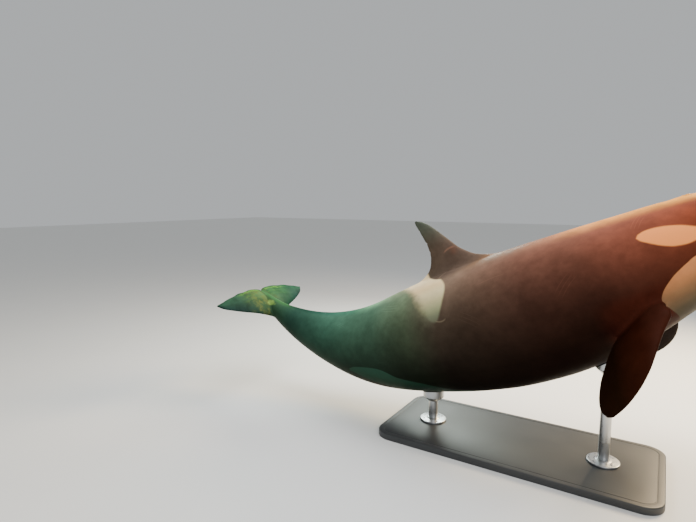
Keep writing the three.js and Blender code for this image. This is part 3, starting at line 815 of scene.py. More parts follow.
def newPoints(points, parts):
    # The points that the joining made: those that no part had
    old = np.concatenate([part[0].astype(np.float32) for part in parts])
    keys = np.concatenate([np.ascontiguousarray(rows).view("V12").ravel() for rows in (old, points)])
    order, which = np.unique(keys, return_inverse=True)
    known = np.zeros(len(order), bool)
    known[which[:len(old)]] = True
    return ~known[which[len(old):]]


parts = [(bodyPoints, bodyFaces), dorsalPoints, *limbPoints]
skinPoints, skinFaces = unite(parts)
joinPoints = newPoints(skinPoints, parts)
print("skin joined:", len(skinFaces), "triangles,", int(joinPoints.sum()), "points along the joins")


def joinWeights(points, along, seam):
    # 1 at the joins, 0 beyond the fillet's reach
    far = np.concatenate([
        np.sqrt(((part[:, None, :] - seam[None]) ** 2).sum(2).min(1))
        for part in np.array_split(points, 80)
    ])
    reach = np.where(along > 0.9, skin["flukeFillet"], skin["fillet"])
    return 1 - rise(far / reach, 0.25, 1)


def smoothed(points, faces, weights):
    # Each pass moves a point part of the way to the mean of its neighbours
    sides = np.concatenate([faces[:, [0, 1]], faces[:, [1, 2]], faces[:, [2, 0]]])
    moving = np.flatnonzero(weights > 0)
    sides = sides[weights[sides[:, 0]] > 0]
    count = np.bincount(sides[:, 0], minlength=len(points))[moving, None]
    points = points.copy()
    for _ in range(skin["passes"]):
        total = np.stack([np.bincount(sides[:, 0], points[sides[:, 1], k], len(points))
                          for k in range(3)], axis=1)[moving]
        mean = total / count
        points[moving] += skin["strength"] * weights[moving, None] * (mean - points[moving])
    return points


skinPoints = skinPoints.astype(float)
straight = unbend(skinPoints)
weights = joinWeights(skinPoints, straight[:, 0], skinPoints[joinPoints][::3])
skinPoints = smoothed(skinPoints, skinFaces, weights)
straight = unbend(skinPoints)
print("joins smoothed")


# Markings, drawn on the unrolled skin: metres along, metres round from the belly's middle

marks = dict(
    eyePatch=[
        (106, 20.6), (108, 24), (113, 28), (119, 31.6), (125.5, 35.6), (135.7, 42.8), (145.9, 48.1),
        (157.3, 52.3), (168.1, 54.9), (178.3, 55.9), (185.6, 55.2), (191.4, 52.6), (188.4, 47.6),
        (180.6, 41.0), (172.6, 34.0), (161.5, 26.6), (148.9, 22.4), (139.9, 20.4), (131.5, 20.6),
        (121, 19.8), (111, 19.0),
    ],
    throat=[
        (90, -4.8), (100, -4.0), (110, -2.4), (120, 0.4), (130, 3.0), (137, 3.8), (143, 3.2),
        (151.9, -0.2), (163.9, -4.9), (173.5, -9.4), (183.7, -16.3), (191.5, -23.3), (195.8, -29),
        (197.6, -33), (197.2, -36.5), (196.4, -41.5), (194.6, -48), (192.4, -55), (191.0, -62),
        (192.0, -69), (196.5, -74.5), (203, -78.5),
    ],
    band=[  # place and half width on the belly
        (184, 34), (192, 28), (202, 24), (214, 22), (240, 20.5), (300, 19.5), (400, 19.5), (480, 20),
        (540, 21), (600, 20), (640, 16), (680, 14), (712, 11), (735, 6), (747, 1),
    ],
    lobe=[
        (470, -105.5), (500, -99), (530, -89.5), (555, -78.5), (577.5, -67.2), (601.6, -58),
        (616.6, -52), (628, -43.8), (639.4, -35), (650, -30.5), (662, -28), (691.6, -27.1),
        (708, -30.3), (718.6, -35.2), (724, -39), (715, -41.5), (707.2, -44), (691.6, -52.5),
        (670.6, -60), (653.2, -69.4), (642.4, -79.5), (634, -86.5),
    ],
    saddle=[
        (506.7, 104), (494, 96.5), (487.5, 92.1), (483, 86.5), (482.1, 80), (483.9, 70.5),
        (489, 57), (495, 44), (500.7, 34.5), (505, 31.5), (511, 33), (517.5, 37), (521.5, 44), (525, 56),
        (530, 67), (537, 77), (547, 86), (558, 91.5), (571, 95), (584, 97),
    ],
    finFoot=[  # lower edge of the painted shade that spreads from the fin's foot down the back
        (414, 112), (420, 108), (427, 107.3), (438, 106.6), (451, 104.4), (467, 100.2), (476, 97.8),
        (487, 96.6), (496, 96.8), (505, 97.8), (512, 99.5), (520, 101.5), (531, 106),
    ],
    lipMargin=1.15,  # the dark edge of the lower lip, which ends at the corner of the mouth
    lipEnd=(74, 86),
    flippers=(0.16, 0.36, 1.055),  # from and to which place, and how far out of the oval, the white ends
    closings=dict(  # metres along between which an outline is closed below the belly
        throat=(-0.1, 1.166), band=(1.02, 4.12), lobe=(2.6, 3.45),
    ),
    beyond=(-0.3, 2.2),  # metres round, past the belly's and past the back's middle line
    edge=0.15,  # how far from an outline its distance is worked out
)


def girthRadius(share):  # the mean of the half width and of the half height, for metres round
    return (widthAt(share) + (backAt(share) + bellyAt(share)) / 2) / 2 * thousandth


def unrolled(straight):
    # Metres along and round the skin, and how far a point stands out of the plain oval
    along, left, up = straight.T
    share = along * 1000
    closing = np.maximum(snoutFactor(along), 0.05)
    up = up - (1 - closing) * body["snoutPoint"] * thousandth
    half = np.where(up >= 0, backAt(share), bellyAt(share)) * thousandth * closing
    wide = (np.abs(left) / (widthAt(share) * thousandth * closing)) ** (1 / keelAt(share))
    turn = np.arctan2(up / half, wide)
    return along * body["length"], girthRadius(share) * (turn + np.pi / 2), np.hypot(up / half, wide), turn


def onFlank(rows):  # (place, height above the spine) to the unrolled skin
    share, up = np.array(rows, float).T
    half = np.where(up >= 0, backAt(share), bellyAt(share))
    turn = np.arcsin(np.clip(up / half, -1, 1))
    return np.stack([share * thousandth, girthRadius(share) * (turn + np.pi / 2)], axis=1)


def onBelly(rows):  # (place, distance from the middle line) to the unrolled skin
    share, aside = np.array(rows, float).T
    turn = -np.arccos(np.clip((aside / widthAt(share)) ** (1 / keelAt(share)), 0, 1))
    return np.stack([share * thousandth, girthRadius(share) * (turn + np.pi / 2)], axis=1)


def rounded(outline, closed=False, times=3):  # cuts every corner a quarter of the way in
    for _ in range(times):
        ends = outline[:1], outline[-1:]
        here, ahead = (outline, np.roll(outline, -1, axis=0)) if closed else (outline[:-1], outline[1:])
        outline = np.stack([0.75 * here + 0.25 * ahead, 0.25 * here + 0.75 * ahead], 1).reshape(-1, 2)
        if not closed:
            outline = np.concatenate([ends[0], outline, ends[1]])
    return outline


def insideDistance(x, y, outline):
    # Distance to the nearest side of a closed outline, positive inside, where a ray crosses an odd count
    ax, ay = outline.T
    bx, by = np.roll(outline, -1, axis=0).T
    edge = marks["edge"]
    result = np.full(len(x), -edge)
    low, high = outline.min(axis=0) - edge, outline.max(axis=0) + edge
    near = np.flatnonzero((x > low[0]) & (x < high[0]) & (y > low[1]) & (y < high[1]))
    for part in np.array_split(near, 1 + len(near) // 4000):
        px, py = x[part, None], y[part, None]
        run = ((px - ax) * (bx - ax) + (py - ay) * (by - ay)) / ((bx - ax) ** 2 + (by - ay) ** 2)
        run = np.clip(run, 0, 1)
        far = np.hypot(px - ax - run * (bx - ax), py - ay - run * (by - ay)).min(axis=1)
        tall = np.where(by == ay, 1, by - ay)
        crossed = ((ay > py) != (by > py)) & (px < (bx - ax) * (py - ay) / tall + ax)
        result[part] = np.where(crossed.sum(axis=1) % 2 == 1, far, -far)
    return np.clip(result, -edge, edge)


def underBelly(name, *parts):  # an outline's parts, closed below the belly's middle line
    first, last = marks["closings"][name]
    return np.concatenate([*parts, [(last, marks["beyond"][0]), (first, marks["beyond"][0])]])


def overBack(rows):  # a rounded outline on the flank, closed above the back's middle line
    outline = onFlank(rows)
    over = [(outline[end, 0], marks["beyond"][1]) for end in (-1, 0)]
    return np.concatenate([rounded(outline), over])


def facingUp(points, faces):
    # The up share of each point's normal, the mean of its triangles' area vectors
    corners = points[faces]
    area = np.cross(corners[:, 1] - corners[:, 0], corners[:, 2] - corners[:, 0])
    total = np.stack([sum(np.bincount(faces[:, c], area[:, k], len(points)) for c in range(3))
                      for k in range(3)], axis=1)
    return total[:, 2] / np.maximum(np.linalg.norm(total, axis=1), 1e-12)


def flukeEdges(straight):
    # Metres from the front and from the rear edge of the flukes, in their own plane
    along, left, _ = straight.T
    out = np.minimum(np.abs(left) / (flukes["halfSpan"] * thousandth), 1)
    back = (along - flukes["notch"]) * body["length"]
    front, rear = [smoothCurve(flukes["plan"], column)(out) * thousandth for column in (1, 2)]
    return back - front, rear - back


def skinMarks():
    # For each point of the skin its distance inside each marking, and where it lies
    x, girth, stand, turn = unrolled(straight)
    share = np.linspace(0, marks["lipEnd"][1], 40)
    margin = marks["lipMargin"] * (1 - rise(share, *marks["lipEnd"]))
    lip = onFlank(np.stack([share, mouthAt(share) - margin], axis=1))
    start = [(marks["closings"]["throat"][0], lip[0, 1])]
    outlines = [
        underBelly("throat", start, lip, rounded(onFlank(marks["throat"]))),
        underBelly("band", rounded(onBelly(marks["band"]))),
        underBelly("lobe", rounded(onFlank(marks["lobe"]))),
    ]
    white = np.maximum.reduce([insideDistance(x, girth, outline) for outline in outlines])
    first, last, out = marks["flippers"]
    onFlipper = (straight[:, 0] > first) & (straight[:, 0] < last)
    limb = (stand - out) * girthRadius(x / thousandth)
    patch = rounded(onFlank(marks["eyePatch"]), closed=True)
    fromFront, fromRear = flukeEdges(straight)
    return dict(
        eyePatch=insideDistance(x, girth, patch),
        whiteUnder=np.where(onFlipper, np.minimum(white, -limb), white),
        saddle=insideDistance(x, girth, overBack(marks["saddle"])),
        finFoot=insideDistance(x, girth, overBack(marks["finFoot"])),
        along=straight[:, 0],
        turn=np.degrees(turn) * rise(straight[:, 0], -0.002, 0.012),
        standOut=stand,
        faceUp=facingUp(skinPoints, skinFaces),
        fromFront=fromFront,
        fromRear=fromRear,
        aside=np.abs(straight[:, 1]),
    )


def addAttribute(mesh, name, values):
    layer = mesh.attributes.new(name, "FLOAT", "POINT")
    layer.data.foreach_set("value", np.asarray(values, np.float32))


skinObject = meshObject("orca_skin", skinPoints, skinFaces)
for name, values in skinMarks().items():
    addAttribute(skinObject.data, name, values)
fleshNodes = ["head", "lower_jaw", "chest", "torso", "waist", "tail_stock", "dorsal_fin",
              "flipper_left", "flipper_right", "fluke_left", "fluke_right"]
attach(skinObject, "root")
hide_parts(*fleshNodes)
print("markings set out")


# Materials

drawing = dict(tree=None)  # the node tree that the calls below add to


def startMaterial(name):  # a new material, and the place on the piece that its patterns read
    material = bpy.data.materials.new(name)
    material.use_nodes = True
    drawing["tree"] = material.node_tree
    return material, addNode("TexCoord").outputs["Object"]


def finishMaterial(material, inputs, bump=()):
    # The shader's inputs by name, and a bump of height, strength and metres
    shader = material.node_tree.nodes["Principled BSDF"].inputs
    for name, value in inputs.items():
        feed(shader[name], value)
    if bump:
        lift = addNode("Bump", dict(zip(("Height", "Strength", "Distance"), bump)))
        feed(shader["Normal"], lift.outputs[0])
    return material


def feed(socket, value):  # another node's output is linked, a number is set
    if isinstance(value, bpy.types.NodeSocket):
        drawing["tree"].links.new(value, socket)
    else:
        socket.default_value = value


def addNode(kind, inputs=(), **settings):
    made = drawing["tree"].nodes.new("ShaderNode" + kind)
    for name, value in settings.items():
        setattr(made, name, value)
    for socket, value in dict(inputs).items():
        feed(made.inputs[socket], value)
    return made


def calc(operation, value, *others):  # the operation with each of the others in turn
    for other in others or (0.0,):
        value = addNode("Math", {0: value, 1: other}, operation=operation).outputs[0]
    return value


def times(first, *values):
    return calc("MULTIPLY", first, *values) if values else first


def plus(*values):
    return calc("ADD", *values)


def minus(one, other):
    return calc("SUBTRACT", one, other)


def distance(one, other):
    return addNode("VectorMath", {0: one, 1: other}, operation="DISTANCE").outputs["Value"]


def attribute(name):  # a number that each point of the piece carries
    return addNode("Attribute", attribute_name=name).outputs["Fac"]


def partOf(place, axis):  # 0, 1 or 2 for X, Y or Z
    return addNode("SeparateXYZ", {0: place}).outputs[axis]


def noise(where, scale, detail=3.0, roughness=0.55, distortion=0.0):
    inputs = dict(Vector=where, Scale=scale, Detail=detail, Roughness=roughness, Distortion=distortion)
    return addNode("TexNoise", inputs).outputs["Fac"]


def wander(size, where, scale, detail, roughness):  # a noise about 0, half the size to either side
    return times(minus(noise(where, scale, detail, roughness), 0.5), size)


def remap(value, low, high, out=(0.0, 1.0), smooth=True):  # from low and high to the two outs
    inputs = {"Value": value, "From Min": low, "From Max": high, "To Min": out[0], "To Max": out[1]}
    kind = "SMOOTHSTEP" if smooth else "LINEAR"
    return addNode("MapRange", inputs, interpolation_type=kind).outputs[0]


def mixColour(share, one, other, blend="MIX"):
    inputs = {0: share, 6: one, 7: other}
    return addNode("Mix", inputs, data_type="RGBA", blend_type=blend).outputs[2]


def grey(value):
    return addNode("CombineColor", {0: value, 1: value, 2: value}).outputs[0]


def tint(one, other):  # one colour times the other
    return mixColour(1.0, one, other, "MULTIPLY")


def ramp(value, stops):  # colours between stops of place and colour
    made = addNode("ValToRGB", {"Fac": value})
    band = made.color_ramp
    for element, (place, colour) in zip(band.elements, (stops[0], stops[-1])):
        element.position, element.color = place, (*colour, 1)
    for place, colour in stops[1:-1]:
        band.elements.new(place).color = (*colour, 1)
    return made.outputs["Color"]


def byTurn(turn, stops):  # stops are degrees round the section and a colour
    place = remap(turn, -90, 90, smooth=False)
    return ramp(place, [((degrees + 90) / 180, colour) for degrees, colour in stops])


def halved(stops):  # numbers as greys of half their size, since a colour stops at 1
    return [(place, (number / 2,) * 3) for place, number in stops]


hide = dict(
    dark=[  # share of the length and colour of the black skin high on the flank, its red-brown at the head and green at the tail being painted warm and greenish light
        (0.00, (0.170, 0.036, 0.016)),
        (0.12, (0.205, 0.046, 0.021)),
        (0.20, (0.235, 0.070, 0.041)),
        (0.27, (0.170, 0.064, 0.041)),
        (0.35, (0.138, 0.062, 0.042)),
        (0.44, (0.160, 0.098, 0.068)),
        (0.51, (0.150, 0.110, 0.078)),
        (0.57, (0.140, 0.190, 0.112)),
        (0.65, (0.078, 0.158, 0.100)),
        (0.78, (0.055, 0.140, 0.092)),
        (0.89, (0.028, 0.074, 0.052)),
        (1.00, (0.050, 0.110, 0.042)),
    ],
    paintedShade=[  # degrees round the section, belly to back, and the painted shade there: dark at the belly, lit at the back, above 1 for painted light on top
        (-90, 0.04), (-50, 0.045), (-32, 0.06), (-20, 0.11), (-11, 0.165), (-1, 0.23),
        (8, 0.31), (16, 0.42), (26, 0.55), (37, 0.74), (50, 0.98), (64, 1.2), (90, 1.3),
    ],
    steep=[  # share of the length and the power that the painted shade is raised to there
        (0.0, 0.84), (0.10, 0.70), (0.145, 0.56), (0.19, 0.62), (0.25, 0.98), (0.48, 1.08),
        (0.60, 1.04), (0.66, 0.84), (0.78, 0.60), (0.90, 0.30),
    ],
    crestHighlight=[  # share of the length and colour of a painted highlight along the back's middle line, warm at the head and green at the tail
        (0.00, (0.170, 0.036, 0.016)), (0.05, (0.45, 0.16, 0.040)), (0.12, (0.84, 0.37, 0.055)),
        (0.25, (0.74, 0.31, 0.080)), (0.30, (0.42, 0.17, 0.080)), (0.36, (0.15, 0.070, 0.030)),
        (0.41, (0.17, 0.085, 0.036)), (0.45, (0.150, 0.095, 0.060)), (0.53, (0.19, 0.155, 0.100)),
        (0.59, (0.27, 0.31, 0.180)), (0.67, (0.22, 0.50, 0.26)), (0.73, (0.045, 0.19, 0.115)),
        (0.80, (0.022, 0.095, 0.072)), (0.87, (0.008, 0.038, 0.027)), (1.00, (0.040, 0.110, 0.045)),
    ],
    limbs=[  # share of the length and colour of the flippers and of the fin, which the painted shade at the fin's foot also takes
        (0.00, (0.034, 0.009, 0.005)),
        (0.215, (0.034, 0.009, 0.005)),
        (0.235, (0.022, 0.0048, 0.002)),
        (0.262, (0.015, 0.004, 0.0015)),
        (0.275, (0.008, 0.003, 0.001)),
        (0.34, (0.012, 0.004, 0.002)),
        (0.38, (0.105, 0.070, 0.050)),
        (0.47, (0.104, 0.070, 0.052)),
        (0.60, (0.100, 0.078, 0.056)),
        (0.90, (0.024, 0.056, 0.034)),
    ],
    finTop=(0.083, 0.106, 0.080, 1),
    # painted light: the low flank by the flipper's root, lifted out of the painted shade
    armpitLight=(0.056, 0.0125, 0.007, 1),
    fluke=[  # share of the chord from the front edge and colour from above
        (0.0, (0.010, 0.027, 0.020)), (0.12, (0.014, 0.036, 0.024)), (0.35, (0.022, 0.050, 0.028)),
        (0.6, (0.032, 0.072, 0.036)), (1.0, (0.038, 0.092, 0.042)),
    ],
    flukeSideLight=[  # metres to the left over flukeReach, and about half the factor: painted light, brightest on the near fluke by the notch, darker on the far fluke and towards the tips
        (-1.0, (0.26, 0.34, 0.45)), (-0.60, (0.31, 0.35, 0.46)), (-0.38, (0.46, 0.46, 0.48)),
        (-0.20, (0.70, 0.66, 0.54)), (-0.08, (0.92, 0.86, 0.62)), (0.08, (0.42, 0.60, 0.50)),
        (0.27, (0.38, 0.54, 0.45)), (0.46, (0.30, 0.50, 0.43)), (0.66, (0.20, 0.38, 0.42)),
        (1.0, (0.19, 0.37, 0.40)),
    ],
    # painted caustic light: colour of the bright wavy lines near the flukes' rear edge, and their places
    causticLineColour=(0.085, 0.235, 0.038, 1),
    causticLines=[(0.034, 0.018, 0.90), (0.094, 0.013, 0.22), (0.150, 0.012, 0.12)],  # place, width, share
    flukeReach=0.75,
    # painted caustic light: yellow-green patches, mostly on the near fluke
    flukeCausticLight=(0.105, 0.125, 0.034, 1),
    # painted shade: the far flipper darkened
    farFlipperShade=(0.17, 0.17, 0.21, 1),
    flukeUnder=(0.34, 0.37, 0.30, 1),
    ridge=(0.046, 0.145, 0.050, 1),
    # orange: the white eye patch in painted warm light
    patch=(0.93, 0.31, 0.085, 1),
    throat=[  # degrees round the section and colour: the white throat in painted warm light above and painted shade below
        (-90, (0.145, 0.123, 0.088)), (-66, (0.100, 0.086, 0.060)), (-45, (0.092, 0.071, 0.044)),
        (-34, (0.145, 0.091, 0.051)), (-24, (0.25, 0.130, 0.064)), (-12, (0.50, 0.205, 0.083)),
        (0, (0.66, 0.26, 0.098)),
    ],
    # painted shadow on the chest ahead of and between the flippers
    chest=(0.022, 0.018, 0.012, 1),
    # the white jaw in painted warm light at the side and painted shade underneath
    jaw=[(-90, (0.31, 0.22, 0.148)), (-40, (0.38, 0.215, 0.117)), (0, (0.58, 0.26, 0.115))],
    # the white belly and lobe in painted shade, darkest on the flank and paler at the middle line
    belly=[(-90, (0.20, 0.23, 0.18)), (-74, (0.085, 0.11, 0.080)), (-58, (0.016, 0.030, 0.021)),
           (-45, (0.012, 0.036, 0.022)), (-20, (0.024, 0.066, 0.042))],
    # the grey saddle's colour, brighter towards the top in painted light and darker low in painted shade
    saddle=[(10, (0.07, 0.06, 0.045)), (24, (0.17, 0.185, 0.115)), (31, (0.32, 0.33, 0.18)),
            (39, (0.52, 0.46, 0.25)), (48, (0.72, 0.60, 0.34)), (58, (0.80, 0.59, 0.31)),
            (72, (0.98, 0.76, 0.44))],
    scars=[  # near side or both; circle's centre and radius, line's width, middle and reach, colour, share
        (True, (2.585, 0.80, 0.60), 0.184, 0.014, (2.615, 0.80, 0.78), 0.075, (0.30, 0.15, 0.10, 1), 0.55),
        (True, (2.72, 0.262, 0.585), 0.102, 0.01, (2.725, 0.165, 0.585), 0.065, (0.24, 0.19, 0.12, 1), 0.45),
        (True, (3.30, 0.90, 0.585), 0.62, 0.006, (2.72, 0.66, 0.585), 0.10, (0.42, 0.30, 0.20, 1), 0.35),
        (False, (2.10, -0.55, 0.585), 0.95, 0.005, (2.20, 0.40, 0.585), 0.16, (0.20, 0.10, 0.07, 1), 0.35),
    ],
    rakes=[  # the same for sets of parallel lines, with the distance between two lines
        (True, (1.10, -0.50, 0.585), 0.84, 0.005, (1.62, 0.16, 0.585), 0.13, 0.030, 0.20),
        (True, (3.00, 1.40, 0.585), 1.00, 0.005, (3.32, 0.45, 0.585), 0.15, 0.032, 0.24),
        (False, (4.40, -0.30, 0.585), 0.75, 0.004, (4.10, 0.38, 0.585), 0.11, 0.026, 0.22),
        (True, (0.30, 0.10, 0.585), 0.80, 0.004, (1.00, 0.50, 0.585), 0.11, 0.027, 0.22),
        (False, (2.90, -0.60, 0.585), 0.85, 0.005, (2.45, 0.12, 0.585), 0.13, 0.030, 0.16),
    ],
    redPatch=((2.57, 0.80, 0.750), 0.065, (0.15, 0.066, 0.042, 1)),
    flukeSpot=((0.9570, -0.078, 0.032), 0.052, (0.17, 0.29, 0.060, 1)),
    degree=0.0092,  # metres round the flank for a degree
    girth=0.585,  # metres from the spine's line where the skin doesn't stand out
    rakePale=(2.4, 2.4, 2.4, 1),
    fades=dict(  # metres from an outline over which one colour gives way to the other
        patch=(-0.008, 0.006),
        white=(-0.004, 0.004),
        saddle=(-0.012, 0.018),
        saddleRear=(-0.095, 0.060),
        saddleTop=(-0.020, 0.008),
        # painted shade at the fin's foot
        finFoot=(-0.085, 0.045),
    ),
    spans=dict(  # over which a colour comes in, by the values that comesIn is given
        # painted highlight along the back's middle line, from and to these degrees round
        crestHighlight=[(58, 79, (0, 0.72))],
        # painted light by the flipper's root
        armpitLight=[(0.285, 0.245), (-1, -16), (-55, -38)],
        limb=[(1.03, 1.13)],
        finTop=[(0.36, 0.38), (1.35, 1.95, (0, 0.8))],
        flipper=[(0.37, 0.35)],
        patches=[(0.3, 0.7, (0.82, 1.15)), (0.25, 0.75, (0.88, 1.10))],
        belly=[(0.24, 0.42)],
        jaw=[(0.152, 0.055)],
        # painted shadow on the chest ahead of and between the flippers
        chest=[(0.140, 0.176), (0.30, 0.22), (-36, -56), (-88, -74, (0.3, 0.62))],
        freckle=[(0.55, 0.95, (0.90, 1.06))],
        flukeNoise=[(0.3, 0.7, (1.65, 2.5))],
        # painted caustic light, mostly on the near fluke
        flukeCausticLight=[(0.42, 0.68, (0, 0.65)), (0.42, 0.16), (0.25, -0.10)],
        flukeUnder=[(-0.05, -0.35), (0.028, 0.055)],
        blades=[(0.925, 0.935), (1.02, 1.25)],
        broken=[(0, 0.22), (0.36, 0.52, (0.35, 1.0))],
        ridge=[(0.895, 0.935), (50, 80)],
        wobble=[(0.08, 0.10)],
        saddleRear=[(0.502, 0.528)],
        saddleMottle=[(0.3, 0.7, (0.90, 1.0))],
        rough=[(0.3, 0.7, (0.41, 0.53))],
    ),
    noises=dict(  # scale, detail, roughness and distortion
        cloud=(2.6, 5, 0.6),
        mottle=(14, 6, 0.62),
        grain=(120, 4, 0.6),
        fluke=(9, 3, 0.55, 0.6),
        # shapes the patches of painted caustic light
        flukeCausticLight=(15, 4, 0.6, 0.5),
        flukeBreak=(24, 2, 0.5),
    ),
    wanders=dict(  # size in metres, then scale, detail and roughness
        edge=(0.012, 6, 2, 0.5),
        fineEdge=(0.0014, 70, 3, 0.6),
        ragged=(0.11, 11, 4, 0.6),
        flukeWave=(0.075, 13, 2, 0.5),
    ),
    bump=(0.7, 0.3, 0.25, 0.004),  # shares of mottle and grain, strength, metres
    specular=0.015,
    specularTint=(1.0, 0.74, 0.58, 1),
)


def circleLine(place, centre, radius, width, middle, reach):
    # A line of a circle, 1 on it and 0 a width away, fading out at the reach from its middle
    away = calc("ABSOLUTE", minus(distance(place, centre), radius))
    return times(remap(away, width, 0), remap(distance(place, middle), reach, reach / 2))


def rakeLines(place, centre, radius, width, middle, reach, gap):
    # Three such lines a gap apart, by the distance's zigzag between 0 and half a gap
    out = minus(distance(place, centre), radius)
    lines = remap(calc("PINGPONG", out, gap / 2), width, 0)
    three = remap(calc("ABSOLUTE", out), gap * 1.6, gap * 1.3)
    return times(lines, three, remap(distance(place, middle), reach, reach / 3))


def comesIn(name, *values):  # the product of each value's remap over its span
    return times(*[remap(value, *span) for value, span in zip(values, hide["spans"][name])])


def hideNoise(name, where):  # one of the skin's named noises
    return noise(where, *hide["noises"][name])


def hideWander(name, where):  # one of its named wanderings of an edge
    size, *shape = hide["wanders"][name]
    return wander(size, where, *shape)


def oldScars(colour, along, turn, stand, near):
    # Thin healed lines and one redder patch, placed by metres along, round and out
    inputs = times(along, body["length"]), times(turn, hide["degree"]), times(stand, hide["girth"])
    place = addNode("CombineXYZ", dict(enumerate(inputs))).outputs[0]
    middle, reach, red = hide["redPatch"]
    colour = mixColour(times(remap(distance(place, middle), reach, 0), 0.5, near), colour, red)
    for oneSided, *line, scar, strength in hide["scars"]:
        share = times(circleLine(place, *line), strength)
        colour = mixColour(times(share, near) if oneSided else share, colour, scar)
    for oneSided, *lines, strength in hide["rakes"]:
        share = times(rakeLines(place, *lines), strength)
        paler = tint(colour, hide["rakePale"])
        colour = mixColour(times(share, near) if oneSided else share, colour, paler)
    return colour


def darkSkin(along, turn, stand, near, cloud, mottle):
    # The black skin: its colour by place along, in painted warm and greenish light, times a painted shade by
    # place round to a power; a painted highlight on the crest and painted light by the flipper's root; then
    # the limbs, with painted shade at the fin's foot and on the far flipper, then clouds and mottles
    # painted shade: the skin lit at the back and darker towards the belly, by place round, raised to a power
    # by place along
    paintedBrightness = times(byTurn(turn, halved(hide["paintedShade"])), 2.0)
    paintedBrightness = calc("POWER", paintedBrightness, times(ramp(along, halved(hide["steep"])), 2.0))
    dark = tint(ramp(along, hide["dark"]), grey(paintedBrightness))
    # a painted highlight along the back's middle line
    dark = mixColour(comesIn("crestHighlight", turn), dark, ramp(along, hide["crestHighlight"]))
    # painted light on the low flank by the flipper's root
    dark = mixColour(comesIn("armpitLight", along, turn, turn), dark, hide["armpitLight"])
    # painted shade: the fin's dark colour spread down its foot onto the back
    foot = remap(attribute("finFoot"), *hide["fades"]["finFoot"])
    limb = calc("MAXIMUM", comesIn("limb", stand), foot)
    limbs = mixColour(comesIn("finTop", along, stand), ramp(along, hide["limbs"]), hide["finTop"])
    # painted shade on the far flipper
    farFlipperShade = times(minus(1.0, near), comesIn("flipper", along))
    limbs = mixColour(farFlipperShade, limbs, tint(limbs, hide["farFlipperShade"]))
    return tint(mixColour(limb, dark, limbs), grey(comesIn("patches", cloud, mottle)))


def paleSkin(along, turn, cloud, mottle):
    # The white underside: belly, throat and jaw by place round, in painted warm light above and painted shade
    # below, with a painted shadow on the chest between the flippers
    throat, jaw, belly = [byTurn(turn, hide[name]) for name in ("throat", "jaw", "belly")]
    pale = mixColour(comesIn("belly", along), throat, belly)
    pale = mixColour(comesIn("jaw", along), pale, jaw)
    # a painted shadow on the chest by the flippers
    pale = mixColour(comesIn("chest", along, along, turn, turn), pale, hide["chest"])
    return tint(pale, grey(comesIn("freckle", plus(cloud, times(mottle, 0.5)))))


def flukeSkin(colour, where, along, turn, stand):
    # Flukes: darker at the front edge; painted light, brightest on the near fluke by the notch and darker
    # towards the tips and on the far fluke; painted caustic light in patches and in broken wavy lines near
    # the rear edge; pale below, and a paler ridge and spot where they leave the tail
    fromFront, fromRear, aside, up = map(attribute, ("fromFront", "fromRear", "aside", "faceUp"))
    left = partOf(where, 1)
    top = ramp(calc("DIVIDE", fromFront, plus(fromFront, fromRear)), hide["fluke"])
    tone = [((place + 1) / 2, factor) for place, factor in hide["flukeSideLight"]]
    reach = hide["flukeReach"]
    # painted light: brighter on the near fluke by the notch, darker on the far fluke and towards the tips
    top = tint(top, ramp(remap(left, -reach, reach, smooth=False), tone))
    top = tint(top, grey(comesIn("flukeNoise", hideNoise("fluke", where))))
    # painted caustic light: yellow-green patches, mostly on the near fluke
    causticLit = comesIn("flukeCausticLight", hideNoise("flukeCausticLight", where), aside, left)
    top = mixColour(causticLit, top, hide["flukeCausticLight"])
    wave = hideWander("flukeWave", where)
    inner = comesIn("broken", minus(0.47, aside), hideNoise("flukeBreak", where))
    # painted caustic light: broken wavy bright lines near the rear edge
    for line, width, strength in hide["causticLines"]:
        away = calc("ABSOLUTE", minus(plus(fromRear, wave), line))
        top = mixColour(times(remap(away, width, 0.003), inner, strength), top, hide["causticLineColour"])
    margin = plus(calc("MINIMUM", fromFront, fromRear), times(wave, 0.5))
    blades = comesIn("blades", along, stand)
    colour = mixColour(blades, colour, top)
    colour = mixColour(times(blades, comesIn("flukeUnder", up, margin)), colour, hide["flukeUnder"])
    colour = mixColour(times(comesIn("ridge", along, turn), 0.8), colour, hide["ridge"])
    middle, reach, spot = hide["flukeSpot"]
    away = plus(distance(where, tuple(bend(middle))), times(wave, 2.0))
    return mixColour(remap(away, reach, reach / 8, (0, 0.8)), colour, spot)


